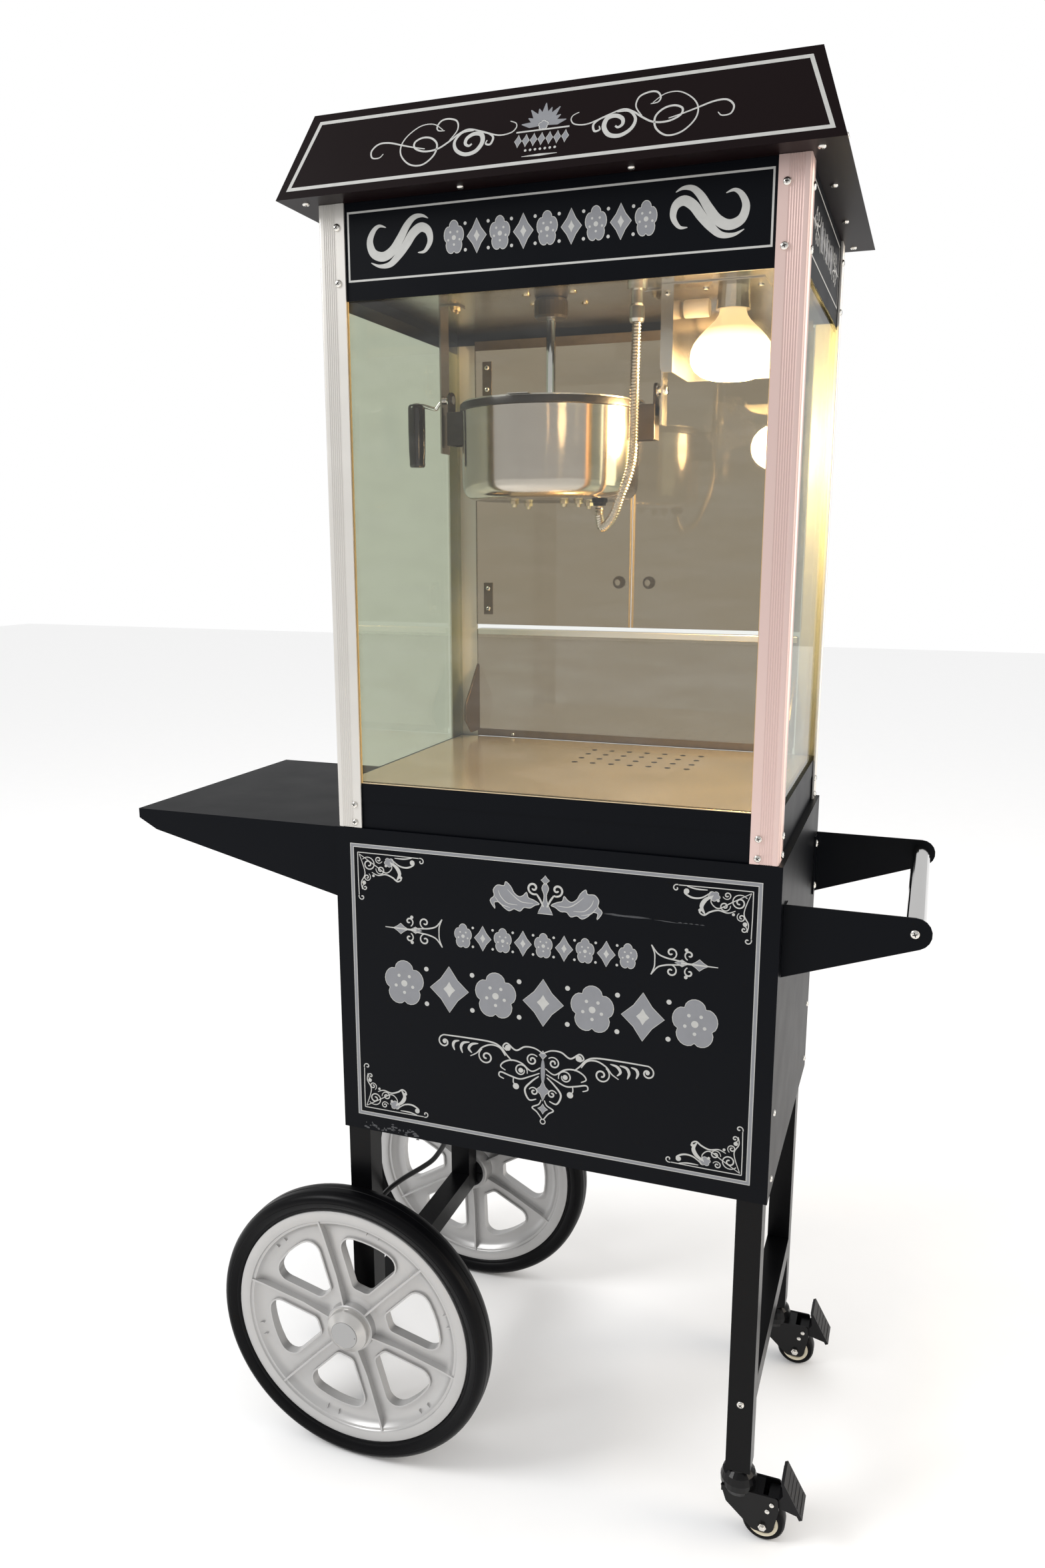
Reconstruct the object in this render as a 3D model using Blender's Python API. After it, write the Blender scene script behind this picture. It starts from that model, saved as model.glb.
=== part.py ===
"""Popcorn cart: a glass-sided popper with a hanging kettle, on a two-wheeled steel cart.

Metres, +Z up, front facing -Y.  The origin is on the floor, at the middle of the cart's
length (shelf tip to push bar) and of its depth (hub cap to hub cap).
"""
import math

import bmesh
import bpy
from mathutils import Matrix, Vector

# ---- driving dimensions ------------------------------------------------------------------
GAP = 0.0003                      # clearance left between neighbouring solids
SHEET = 0.0012                    # folded steel sheet

CENTRE_X = 0.068                  # middle of the cabinet and popper, along the cart
CENTRE_Y = 0.010                  # middle of the cabinet and popper, front to back

CABINET_HALF_WIDTH = 0.260
CABINET_HALF_DEPTH = 0.1835
CABINET_BOTTOM = 0.4375
CABINET_TOP = 0.822

LEG = 0.029                       # square tube
TUBE_WALL = 0.002
LEG_TOP = 0.560
CASTER_LEG_BOTTOM = 0.088
LEG_CENTRE_Y = 0.157
LEG_INSET = 0.019                 # from the cabinet's side to a leg's centre line

WHEEL_RADIUS = 0.1835
WHEEL_CENTRE_Y = 0.200
RIM_RADIUS = 0.1592
TYRE_HALF_WIDTH = 0.0193
SPOKES = 6
SPOKE_PHASE = {"front": 46.3, "rear": 32.0}     # degrees from +X, seen from the front
AXLE_RADIUS = 0.006

POPPER_HALF_WIDTH = 0.255
POPPER_HALF_DEPTH = 0.1830
PLINTH_TOP = 0.875
PLINTH_STEP = 0.854
DRAWER_HALF = 0.200
DRAWER_TOP = 0.862
HEADER_BOTTOM = 1.400
PANEL_BOTTOM = 1.410
SWITCH_Z = 1.455
SWITCH_REACH = 0.0132             # half height of a switch's slot, clear of the key as it rocks
SWITCHES = (("kettle_heat", 0.128), ("stir_motor", 0.178), ("cabinet_lamp", 0.228))
CEILING_HEIGHT = 1.425
ROOF_BOTTOM = 1.497
ROOF_TOP = 1.586
ROOF_HALF_WIDTH = 0.288
ROOF_HALF_DEPTH = 0.2125
ROOF_TOP_HALF_WIDTH = 0.2594
ROOF_TOP_HALF_DEPTH = 0.1748
POST = 0.030
POST_WALL = 0.002
FLUTES = 6

LID_TOP = 1.3090
KETTLE_X = CENTRE_X - 0.056
KETTLE_Y = CENTRE_Y
KETTLE_RADIUS = 0.105
KETTLE_BOTTOM = 1.198
KETTLE_TOP = 1.3073
PIVOT_Z = 1.318                   # above the lid, so that it clears the shaft as it tips
PIVOT_RADIUS = 0.005
PIVOT_REACH = 0.1350              # kettle axis to hanger strap
SHAFT_RADIUS = 0.0054
STIR_TOP = 1.3120                 # kettle's spindle, just under the drive shaft
SHAFT_BOTTOM = 1.3186
EAR_HALF = 0.0120                 # folded ears on the kettle's sides
EAR_LOW = 1.2640
EAR_HIGH = 1.3030
COLLAR_LOW = 1.4030
COLLAR_HIGH = 1.4243
SHAFT_TOP = 1.4155
GRIP_X = -0.1620
GRIP_LOW = 1.2400
GRIP_HIGH = 1.3140
CRANK_Z = 1.3120

LAMP_X = 0.2234
LAMP_Y = 0.0105

HANDLE_TOP = 0.776
BAR_X = 0.460
BAR_Z = 0.760
BAR_RADIUS = 0.011
ARM_OFFSET_Y = 0.166              # handle arms, from the middle
ARM_SHEET = 0.002

SHELF_TIP_X = -0.477
SHELF_TOP = 0.8195
SHELF_HALF_DEPTH = 0.176

CASTER_X = CENTRE_X + CABINET_HALF_WIDTH - LEG_INSET
CASTER_TRAIL = 0.0315
CASTER_WHEEL_RADIUS = 0.025

CORD_RADIUS = 0.00325

FRONT = -1
REAR = 1


# ---- general helpers ---------------------------------------------------------------------
def clear_scene():
    """Remove every object, so that the script starts from nothing."""
    for item in list(bpy.data.objects):
        bpy.data.objects.remove(item, do_unlink=True)


def paint(name, colour, roughness, metallic=0.0, alpha=1.0, glow=0.0):
    """A Principled material."""
    material = bpy.data.materials.new(name)
    material.use_nodes = True
    shader = material.node_tree.nodes["Principled BSDF"]
    shader.inputs["Base Color"].default_value = (*colour, 1.0)
    shader.inputs["Roughness"].default_value = roughness
    shader.inputs["Metallic"].default_value = metallic
    shader.inputs["Alpha"].default_value = alpha
    if glow:
        shader.inputs["Emission Color"].default_value = (*colour, 1.0)
        shader.inputs["Emission Strength"].default_value = glow
    return material


BLACK = ((0.012, 0.012, 0.013), 0.35)
STEEL = ((0.62, 0.60, 0.57), 0.28, 1.0)
CHROME = ((0.78, 0.77, 0.75), 0.12, 1.0)
ALUMINIUM = ((0.72, 0.70, 0.67), 0.35, 1.0)
CLEAR = ((0.85, 0.88, 0.86), 0.05, 0.0, 0.3)
DARK_PLASTIC = ((0.02, 0.02, 0.02), 0.45)


def node(name, mesh, look, origin=(0.0, 0.0, 0.0), smooth=0.0):
    """Turn a bmesh into a named object whose origin is at the given point."""
    bmesh.ops.recalc_face_normals(mesh, faces=mesh.faces)
    bmesh.ops.translate(mesh, vec=-Vector(origin), verts=mesh.verts)
    data = bpy.data.meshes.new(name)
    mesh.to_mesh(data)
    mesh.free()
    if smooth:
        data.shade_smooth()
        data.set_sharp_from_angle(angle=math.radians(smooth))
    data.materials.append(paint(name, *look))
    item = bpy.data.objects.new(name, data)
    item.location = origin
    bpy.context.scene.collection.objects.link(item)
    return item


def tool(name, mesh):
    """A hidden cutter or filler, used only by Boolean modifiers."""
    item = node(name, mesh, BLACK)
    item.hide_render = True
    item.display_type = "WIRE"
    return item


def combine(item, mesh, operation):
    """Cut a mesh from an object, or join a mesh to it."""
    helper = tool(f"{item.name}_{operation.lower()}_{len(item.modifiers)}", mesh)
    boolean = item.modifiers.new(operation.title(), "BOOLEAN")
    boolean.operation = operation
    boolean.solver = "EXACT"
    boolean.object = helper


def cut(item, mesh):
    combine(item, mesh, "DIFFERENCE")


def join(item, mesh):
    combine(item, mesh, "UNION")


def box(low, high, mesh=None):
    """An axis-aligned box between two corners, in a new or a given bmesh."""
    mesh = mesh or bmesh.new()
    low, high = Vector(low), Vector(high)
    size = high - low
    place = Matrix.Translation((low + high) / 2) @ Matrix.Diagonal((*size, 1.0))
    bmesh.ops.create_cube(mesh, size=1.0, matrix=place)
    return mesh


def prism(outline, axis, start, end, mesh=None):
    """Extrude an outline along X, Y or Z.  The outline gives the other two, in XYZ order."""
    mesh = mesh or bmesh.new()
    place = {
        "X": lambda a, b, c: (c, a, b),
        "Y": lambda a, b, c: (a, c, b),
        "Z": lambda a, b, c: (a, b, c),
    }[axis]
    near = [mesh.verts.new(place(a, b, start)) for a, b in outline]
    far = [mesh.verts.new(place(a, b, end)) for a, b in outline]
    mesh.faces.new(near)
    mesh.faces.new(list(reversed(far)))
    count = len(outline)
    for i in range(count):
        j = (i + 1) % count
        mesh.faces.new((near[j], near[i], far[i], far[j]))
    bmesh.ops.recalc_face_normals(mesh, faces=mesh.faces)
    return mesh


def circle(a, b, radius, steps=24, start=0.0):
    """Points round a circle."""
    turn = math.tau / steps
    return [(a + radius * math.cos(start + i * turn), b + radius * math.sin(start + i * turn))
            for i in range(steps)]


def rounded(corners, steps=4):
    """An outline with filleted corners, from (a, b, radius) corners."""
    points = []
    count = len(corners)
    for i, (a, b, radius) in enumerate(corners):
        here = Vector((a, b))
        if radius <= 0:
            points.append((a, b))
            continue
        before = (Vector(corners[i - 1][:2]) - here).normalized()
        after = (Vector(corners[(i + 1) % count][:2]) - here).normalized()
        half = before.angle(after) / 2
        reach = radius / math.tan(half)
        middle = here + (before + after).normalized() * (radius / math.sin(half))
        first, last = here + before * reach - middle, here + after * reach - middle
        sweep = first.angle_signed(last)
        for k in range(steps + 1):
            point = middle + Matrix.Rotation(-sweep * k / steps, 2) @ first
            points.append((point.x, point.y))
    return points


def lathe(profile, axis, centre, steps=32, mesh=None):
    """Turn a closed profile of (radius, height) about an axis through a point."""
    mesh = mesh or bmesh.new()
    centre = Vector(centre)
    along = {"X": Vector((1, 0, 0)), "Y": Vector((0, 1, 0)), "Z": Vector((0, 0, 1))}[axis]
    side = {"X": Vector((0, 1, 0)), "Y": Vector((1, 0, 0)), "Z": Vector((1, 0, 0))}[axis]
    other = along.cross(side)
    rings = []
    for radius, height in profile:
        if radius <= 0:
            rings.append([mesh.verts.new(centre + along * height)])
            continue
        ring = []
        for i in range(steps):
            angle = math.tau * i / steps
            out = side * math.cos(angle) + other * math.sin(angle)
            ring.append(mesh.verts.new(centre + along * height + out * radius))
        rings.append(ring)
    for here, there in zip(rings, rings[1:] + rings[:1]):
        if len(here) == 1 and len(there) == 1:
            continue
        for i in range(steps):
            j = (i + 1) % steps
            if len(here) == 1:
                mesh.faces.new((here[0], there[i], there[j]))
            elif len(there) == 1:
                mesh.faces.new((here[i], there[0], here[j]))
            else:
                mesh.faces.new((here[i], there[i], there[j], here[j]))
    bmesh.ops.recalc_face_normals(mesh, faces=mesh.faces)
    return mesh


def rod(axis, centre, radius, start, end, steps=16, mesh=None):
    """A plain round bar along an axis."""
    return lathe([(0, start), (radius, start), (radius, end), (0, end)],
                 axis, centre, steps, mesh)


def smooth_path(points, spacing):
    """Points at an even spacing along a smooth curve through the route's own points."""
    route = [Vector(p) for p in points]
    fine = []
    for i in range(len(route) - 1):
        p0, p1 = route[max(i - 1, 0)], route[i]
        p2, p3 = route[i + 1], route[min(i + 2, len(route) - 1)]
        for k in range(24):
            t = k / 24
            fine.append(0.5 * ((2 * p1) + (p2 - p0) * t + (2 * p0 - 5 * p1 + 4 * p2 - p3) * t ** 2
                               + (3 * p1 - p0 - 3 * p2 + p3) * t ** 3))
    fine.append(route[-1])
    total = sum((b - a).length for a, b in zip(fine, fine[1:]))
    count = max(2, round(total / spacing))
    wanted = [total * i / count for i in range(count + 1)]
    result, travelled, index = [fine[0]], 0.0, 0
    for target in wanted[1:-1]:
        while travelled + (fine[index + 1] - fine[index]).length < target:
            travelled += (fine[index + 1] - fine[index]).length
            index += 1
        step = (fine[index + 1] - fine[index])
        result.append(fine[index] + step * ((target - travelled) / step.length))
    result.append(fine[-1])
    return result


def pipe(name, points, radius, look, resolution=2):
    """A round tube along a list of points, as a curve with filled caps."""
    data = bpy.data.curves.new(name, "CURVE")
    data.dimensions = "3D"
    data.bevel_depth = radius
    data.bevel_resolution = resolution
    data.use_fill_caps = True
    spline = data.splines.new("POLY")
    spline.points.add(len(points) - 1)
    for target, point in zip(spline.points, points):
        target.co = (*point, 1.0)
    data.materials.append(paint(name, *look))
    item = bpy.data.objects.new(name, data)
    bpy.context.scene.collection.objects.link(item)
    return item


# ---- cart --------------------------------------------------------------------------------
LEFT_X = CENTRE_X - CABINET_HALF_WIDTH
RIGHT_X = CENTRE_X + CABINET_HALF_WIDTH
CABINET_FRONT = CENTRE_Y - CABINET_HALF_DEPTH
CABINET_REAR = CENTRE_Y + CABINET_HALF_DEPTH
LEFT_LEG_X = LEFT_X + LEG_INSET
RIGHT_LEG_X = RIGHT_X - LEG_INSET
RAIL_LOW = WHEEL_RADIUS - LEG / 2
RAIL_HIGH = WHEEL_RADIUS + LEG / 2
DOOR_EDGE = 0.024                 # frame left round the cabinet's rear opening
GLAND_X, GLAND_Y = -0.083, -0.108  # cord gland in the cabinet's floor


def make_cabinet_shell():
    """Folded sheet box, open at the back, with its floor notched round the four legs."""
    shell = node("cabinet_shell", box((LEFT_X, CABINET_FRONT, CABINET_BOTTOM),
                                      (RIGHT_X, CABINET_REAR, CABINET_TOP)), BLACK)
    cut(shell, box((LEFT_X + SHEET, CABINET_FRONT + SHEET, CABINET_BOTTOM + SHEET),
                   (RIGHT_X - SHEET, CABINET_REAR - SHEET, CABINET_TOP - SHEET)))
    openings = box((LEFT_X + DOOR_EDGE, CABINET_REAR - 0.01, CABINET_BOTTOM + DOOR_EDGE),
                   (RIGHT_X - DOOR_EDGE, CABINET_REAR + 0.01, CABINET_TOP - DOOR_EDGE))
    half = LEG / 2 + 0.0006
    for x in (LEFT_LEG_X, RIGHT_LEG_X):
        for y in (-LEG_CENTRE_Y, LEG_CENTRE_Y):
            box((x - half, y - half, CABINET_BOTTOM - 0.01),
                (x + half, y + half, CABINET_BOTTOM + 0.01), openings)
    prism(circle(GLAND_X, GLAND_Y, 0.0063, 16), "Z",
          CABINET_BOTTOM - 0.01, CABINET_BOTTOM + 0.01, openings)
    cut(shell, openings)


def make_cabinet_door():
    """Rear door: a folded pan that hangs over the opening, with a turned knob."""
    low = Vector((LEFT_X + 0.014, CABINET_REAR + GAP, CABINET_BOTTOM + 0.014))
    high = Vector((RIGHT_X - 0.014, CABINET_REAR + 0.0123, CABINET_TOP - 0.014))
    hinge = (low.x, high.y, (low.z + high.z) / 2)
    door = node("cabinet_door", box(low, high), BLACK, hinge)
    cut(door, box((low.x + SHEET, low.y - 0.01, low.z + SHEET),
                  (high.x - SHEET, high.y - SHEET, high.z - SHEET)))
    knob = [(0, -0.0005), (0.005, -0.0005), (0.005, 0.006), (0.011, 0.009), (0.011, 0.015),
            (0.008, 0.017), (0, 0.017)]
    join(door, lathe(knob, "Y", (high.x - 0.030, high.y, hinge[2]), 16))


def make_legs():
    """Four square tubes: the right pair stands on casters, the left pair on the axle."""
    for side, x in (("left", LEFT_LEG_X), ("right", RIGHT_LEG_X)):
        for end, y in (("front", -LEG_CENTRE_Y), ("rear", LEG_CENTRE_Y)):
            bottom = RAIL_LOW if side == "left" else CASTER_LEG_BOTTOM
            half, hollow = LEG / 2, LEG / 2 - TUBE_WALL
            leg = node(f"leg_{end}_{side}", box((x - half, y - half, bottom),
                                                (x + half, y + half, LEG_TOP)), BLACK)
            floor = bottom - 0.01 if side == "left" else bottom + 0.030
            cut(leg, box((x - hollow, y - hollow, floor), (x + hollow, y + hollow, LEG_TOP + 0.01)))
            if side == "left":
                cut(leg, rod("Y", (x, y, WHEEL_RADIUS), AXLE_RADIUS + GAP, -LEG, LEG))
            else:
                cut(leg, rod("Z", (x, y, bottom), 0.0060, -0.01, 0.026))


def make_rails():
    """Square tubes that join each pair of legs, front to back, at axle height."""
    reach = LEG_CENTRE_Y - LEG / 2 - GAP
    for name, x in (("axle_beam", LEFT_LEG_X), ("leg_tie", RIGHT_LEG_X)):
        rail = node(name, box((x - LEG / 2, -reach, RAIL_LOW), (x + LEG / 2, reach, RAIL_HIGH)),
                    BLACK)
        hollow = LEG / 2 - TUBE_WALL
        cut(rail, box((x - hollow, -reach - 0.01, WHEEL_RADIUS - hollow),
                      (x + hollow, reach + 0.01, WHEEL_RADIUS + hollow)))


def make_axle():
    """One steel rod through the beam and both left legs, with a wheel at each end."""
    end = WHEEL_CENTRE_Y + 0.022
    axle = node("axle_rod", rod("Y", (LEFT_LEG_X, 0, WHEEL_RADIUS), AXLE_RADIUS, -end, end), STEEL,
                (LEFT_LEG_X, 0, WHEEL_RADIUS))
    return axle


def make_wheel(end, sign):
    """A moulded six-spoke rim with its hub and cap, and a solid rubber tyre."""
    centre = (LEFT_LEG_X, sign * WHEEL_CENTRE_Y, WHEEL_RADIUS)
    out = sign
    half_profile = [(0, 0.030), (0.0175, 0.030), (0.0265, 0.021), (0.0275, 0.016), (0.031, 0.015),
                    (0.034, 0.006), (0.126, 0.005), (0.149, 0.0125), (RIM_RADIUS, 0.0125),
                    (RIM_RADIUS, -0.0125), (0.149, -0.0125), (0.126, -0.005), (0.034, -0.006),
                    (0.030, -0.026), (AXLE_RADIUS + 0.0004, -0.026), (AXLE_RADIUS + 0.0004, 0.0245),
                    (0, 0.0245)]
    profile = [(radius, out * height) for radius, height in half_profile]
    rim = node(f"wheel_rim_{end}", lathe(profile, "Y", centre, 40), ALUMINIUM, centre, 35)
    fins = bmesh.new()
    windows = bmesh.new()
    step = math.tau / SPOKES
    for i in range(SPOKES):
        angle = math.radians(SPOKE_PHASE[end]) + i * step
        turn = Matrix.Translation(centre) @ Matrix.Rotation(-angle, 4, "Y")
        fin = box((0.0285, -0.0120, -0.0014), (0.1505, 0.0120, 0.0014))
        bmesh.ops.transform(fin, matrix=turn, verts=fin.verts)
        add_mesh(fins, fin)
        spoke_half, inner, outer = 0.0165, 0.052, 0.1215
        wide = step / 2 - math.asin(spoke_half / outer)
        narrow = step / 2 - math.asin(spoke_half / inner)
        corners = [(outer, -wide, 0.014), (outer, 0, 0), (outer, wide, 0.014),
                   (inner, narrow, 0.008), (inner, -narrow, 0.008)]
        outline = rounded([(r * math.cos(a), r * math.sin(a), f) for r, a, f in corners], 3)
        window = prism(outline, "Y", -0.02, 0.02)
        turn = Matrix.Translation(centre) @ Matrix.Rotation(-angle - step / 2, 4, "Y")
        bmesh.ops.transform(window, matrix=turn, verts=window.verts)
        add_mesh(windows, window)
    join(rim, fins)
    cut(rim, windows)
    inner = RIM_RADIUS + GAP
    tread = [(inner, -0.0120), (0.1665, -0.0178), (0.174, TYRE_HALF_WIDTH * -1),
             (0.1805, -0.0150), (WHEEL_RADIUS, -0.0075), (WHEEL_RADIUS, 0.0075),
             (0.1805, 0.0150), (0.174, TYRE_HALF_WIDTH), (0.1665, 0.0178), (inner, 0.0120)]
    rubber = ((0.015, 0.015, 0.016), 0.6)
    node(f"tyre_{end}", lathe(tread, "Y", centre, 40), rubber, centre, 35)


def add_mesh(target, source):
    """Copy one bmesh into another, and free the first."""
    data = bpy.data.meshes.new("piece")
    source.to_mesh(data)
    source.free()
    target.from_mesh(data)
    bpy.data.meshes.remove(data)


def make_caster(end, sign):
    """A swivelling fork on a stem in the leg, a trailing wheel and a foot brake."""
    x, y = CASTER_X, sign * LEG_CENTRE_Y
    axle_x = x + CASTER_TRAIL
    dome = [(0, 0.0580), (0.0185, 0.0580), (0.0210, 0.0640), (0.0215, 0.0720), (0.0190, 0.0800),
            (0.0130, 0.0850), (0.0125, 0.0870), (0.0056, 0.0870), (0.0056, 0.1120), (0, 0.1120)]
    fork = node(f"caster_fork_{end}", lathe(dome, "Z", (x, y, 0), 24), BLACK, (x, y, 0.0870), 35)
    cheek = rounded([(x - 0.0185, 0.0660, 0), (x - 0.0120, 0.0460, 0.006),
                     (axle_x - 0.0110, 0.0165, 0.009), (axle_x + 0.0110, 0.0165, 0.009),
                     (axle_x + 0.0180, 0.0500, 0.004), (axle_x + 0.0160, 0.0660, 0.003)], 3)
    inner, outer = 0.0135, 0.0158
    sides = prism(cheek, "Y", y - outer, y - inner)
    prism(cheek, "Y", y + inner, y + outer, sides)
    join(fork, sides)
    bridge = box((x - 0.0180, y - 0.0150, 0.0580), (axle_x - 0.0010, y + 0.0150, 0.0655))
    join(fork, bridge)
    bolts = rod("Y", (axle_x, y, CASTER_WHEEL_RADIUS), 0.0035, -0.0185, 0.0185, 12)
    rod("Y", (x + 0.0410, y, 0.0565), 0.0022, -0.0172, 0.0172, 12, bolts)
    join(fork, bolts)
    radius = CASTER_WHEEL_RADIUS
    roller = [(0.0039, -0.0120), (0.0190, -0.0120), (0.0198, -0.0108), (0.0235, -0.0105),
              (radius, -0.0070), (radius, 0.0070), (0.0235, 0.0105), (0.0198, 0.0108),
              (0.0190, 0.0120), (0.0039, 0.0120)]
    ivory = ((0.70, 0.64, 0.50), 0.5)
    node(f"caster_wheel_{end}", lathe(roller, "Y", (axle_x, y, radius), 24), ivory,
         (axle_x, y, radius), 35)
    pivot = (x + 0.0410, y, 0.0565)
    lever = rounded([(x + 0.0355, 0.0520, 0.002), (x + 0.0480, 0.0520, 0), (x + 0.0700, 0.0470, 0.002),
                     (x + 0.0765, 0.0500, 0.001), (x + 0.0540, 0.0910, 0.001),
                     (x + 0.0500, 0.0890, 0.001), (x + 0.0530, 0.0690, 0), (x + 0.0480, 0.0612, 0),
                     (x + 0.0355, 0.0612, 0.002)], 2)
    pedal = node(f"brake_pedal_{end}", prism(lever, "Y", y - 0.0125, y + 0.0125), DARK_PLASTIC,
                 pivot)
    foot = [(x + 0.0765, 0.0500), (x + 0.0540, 0.0910), (x + 0.0505, 0.0890), (x + 0.0728, 0.0480)]
    join(pedal, prism(foot, "Y", y - 0.0190, y + 0.0190))
    cut(pedal, rod("Y", pivot, 0.0026, -0.03, 0.03, 12))


def make_shelf():
    """Folded tray on the left side: flat top, tapering cheeks, a lip at its tip."""
    root = LEFT_X - GAP
    outline = [(SHELF_TIP_X, SHELF_TOP), (root, SHELF_TOP), (root, 0.7330),
               (SHELF_TIP_X + 0.025, 0.7940), (SHELF_TIP_X, 0.8075)]
    low, high = CENTRE_Y - SHELF_HALF_DEPTH, CENTRE_Y + SHELF_HALF_DEPTH
    shelf = node("side_shelf", prism(outline, "Y", low, high), BLACK)
    sheet = 0.0015
    cut(shelf, box((SHELF_TIP_X + sheet, low + sheet, 0.70),
                   (root - sheet, high - sheet, SHELF_TOP - sheet)))


def make_handle():
    """Two flanged arms bolted to the right side, with a chromed tube between them."""
    root = RIGHT_X + GAP
    tip = 0.0170
    slope = math.atan2(BAR_Z - tip - 0.6960, BAR_X - root)
    round_end = [(BAR_X + tip * math.sin(a), BAR_Z - tip * math.cos(a))
                 for a in (slope + (math.pi - slope) * k / 8 for k in range(9))]
    plate = [(root, 0.6960)] + round_end + [(root, HANDLE_TOP + 0.001)]
    for end, sign in (("front", FRONT), ("rear", REAR)):
        y = CENTRE_Y + sign * ARM_OFFSET_Y
        arm = node(f"handle_arm_{end}", prism(plate, "Y", y, y - sign * ARM_SHEET), BLACK)
        flange = box((root, min(y, y - sign * 0.022), 0.6970),
                     (root + ARM_SHEET, max(y, y - sign * 0.022), 0.7750))
        join(arm, flange)
    reach = ARM_OFFSET_Y - ARM_SHEET - GAP
    wall = 0.0015
    bar = [(BAR_RADIUS - wall, -reach), (BAR_RADIUS, -reach), (BAR_RADIUS, reach),
           (BAR_RADIUS - wall, reach)]
    node("push_bar", lathe(bar, "Y", (BAR_X, CENTRE_Y, BAR_Z), 24), CHROME,
         (BAR_X, CENTRE_Y, BAR_Z), 35)


# ---- popper ------------------------------------------------------------------------------
P_LEFT = CENTRE_X - POPPER_HALF_WIDTH
P_RIGHT = CENTRE_X + POPPER_HALF_WIDTH
P_FRONT = CENTRE_Y - POPPER_HALF_DEPTH
P_REAR = CENTRE_Y + POPPER_HALF_DEPTH
SKIN = POST_WALL + 0.0005         # panels sit this far inside the posts' outer faces
PANE = 0.003
P_BASE = CABINET_TOP + GAP


def post_outline(sign_x, sign_y):
    """L section with a rounded corner and six flutes on each face, in plan."""
    def face_points():
        """One outer face from the corner to its free edge: distance along, and depth."""
        points = [(0.0025, 0.0)]
        pitch, first = 0.0024, 0.0060
        for i in range(FLUTES):
            start = first + i * pitch
            points += [(start, 0.0), (start + pitch * 0.35, 0.0006), (start + pitch * 0.65, 0.0006)]
        points += [(first + FLUTES * pitch, 0.0), (POST, 0.0)]
        return points
    along_x = face_points()
    corner = [(0.0025 - 0.0025 * math.sin(a), 0.0025 - 0.0025 * math.cos(a))
              for a in (math.pi / 2 * k / 3 for k in range(1, 3))]
    outline = [(u, v) for u, v in reversed(along_x)] + corner + [(v, u) for u, v in along_x]
    outline += [(POST_WALL, POST), (POST_WALL, POST_WALL), (POST, POST_WALL)]
    corner_x = CENTRE_X + sign_x * POPPER_HALF_WIDTH
    corner_y = CENTRE_Y + sign_y * POPPER_HALF_DEPTH
    return [(corner_x - sign_x * u, corner_y - sign_y * v) for u, v in outline]


def make_posts():
    """Four fluted aluminium corner extrusions, from the cart's top to the roof."""
    for end, sign_y in (("front", FRONT), ("rear", REAR)):
        for side, sign_x in (("left", -1), ("right", 1)):
            node(f"post_{end}_{side}", prism(post_outline(sign_x, sign_y), "Z",
                                             P_BASE + GAP, ROOF_BOTTOM - GAP), ALUMINIUM)


def make_plinth():
    """Base pan with a stepped band, a ledge round its top and a drawer opening at the back."""
    low = (P_LEFT + SKIN, P_FRONT + SKIN, P_BASE)
    high = (P_RIGHT - SKIN, P_REAR - SKIN, PLINTH_TOP)
    inset = 0.0010
    plinth = node("plinth", box((low[0] + inset, low[1] + inset, low[2]),
                                (high[0] - inset, high[1] - inset, high[2])), BLACK)
    join(plinth, box((low[0], low[1], PLINTH_STEP), high))
    wall = inset + SHEET
    cut(plinth, box((low[0] + wall, low[1] + wall, low[2] + SHEET),
                    (high[0] - wall, high[1] - wall, high[2] - SHEET)))
    ledge = 0.020
    cut(plinth, box((low[0] + ledge, low[1] + ledge, high[2] - 0.01),
                    (high[0] - ledge, high[1] - ledge, high[2] + 0.01)))
    cut(plinth, box((CENTRE_X - DRAWER_HALF - 0.001, high[1] - 0.01, P_BASE + SHEET + 0.001),
                    (CENTRE_X + DRAWER_HALF + 0.001, high[1] + 0.01, DRAWER_TOP + 0.001)))


def make_crumb_drawer():
    """Shallow open pan under the floor's holes, pulled out from the back."""
    front = P_FRONT + 0.045
    rear = P_REAR - SKIN + 0.0025
    base = P_BASE + SHEET + 0.0015
    drawer = node("crumb_drawer", box((CENTRE_X - DRAWER_HALF, front, base),
                                      (CENTRE_X + DRAWER_HALF, rear, DRAWER_TOP)), STEEL,
                  (CENTRE_X, rear, base))
    cut(drawer, box((CENTRE_X - DRAWER_HALF + SHEET, front + SHEET, base + SHEET),
                    (CENTRE_X + DRAWER_HALF - SHEET, rear - SHEET, DRAWER_TOP + 0.01)))
    pull = box((CENTRE_X - 0.030, rear - 0.0005, base + 0.012),
               (CENTRE_X + 0.030, rear + 0.012, base + 0.0145))
    join(drawer, pull)


def make_floor_tray():
    """Polished floor with a field of drain holes over the drawer."""
    edge = 0.0095
    tray = node("floor_tray", box((P_LEFT + edge, P_FRONT + edge, PLINTH_TOP + GAP),
                                  (P_RIGHT - edge, P_REAR - edge - 0.004, PLINTH_TOP + GAP + SHEET)),
                STEEL)
    holes = bmesh.new()
    for column in range(7):
        for row in range(4):
            x, y = CENTRE_X - 0.030 + column * 0.024, 0.035 + row * 0.030
            prism(circle(x, y, 0.0035, 8), "Z", PLINTH_TOP - 0.01, PLINTH_TOP + 0.01, holes)
    cut(tray, holes)


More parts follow.
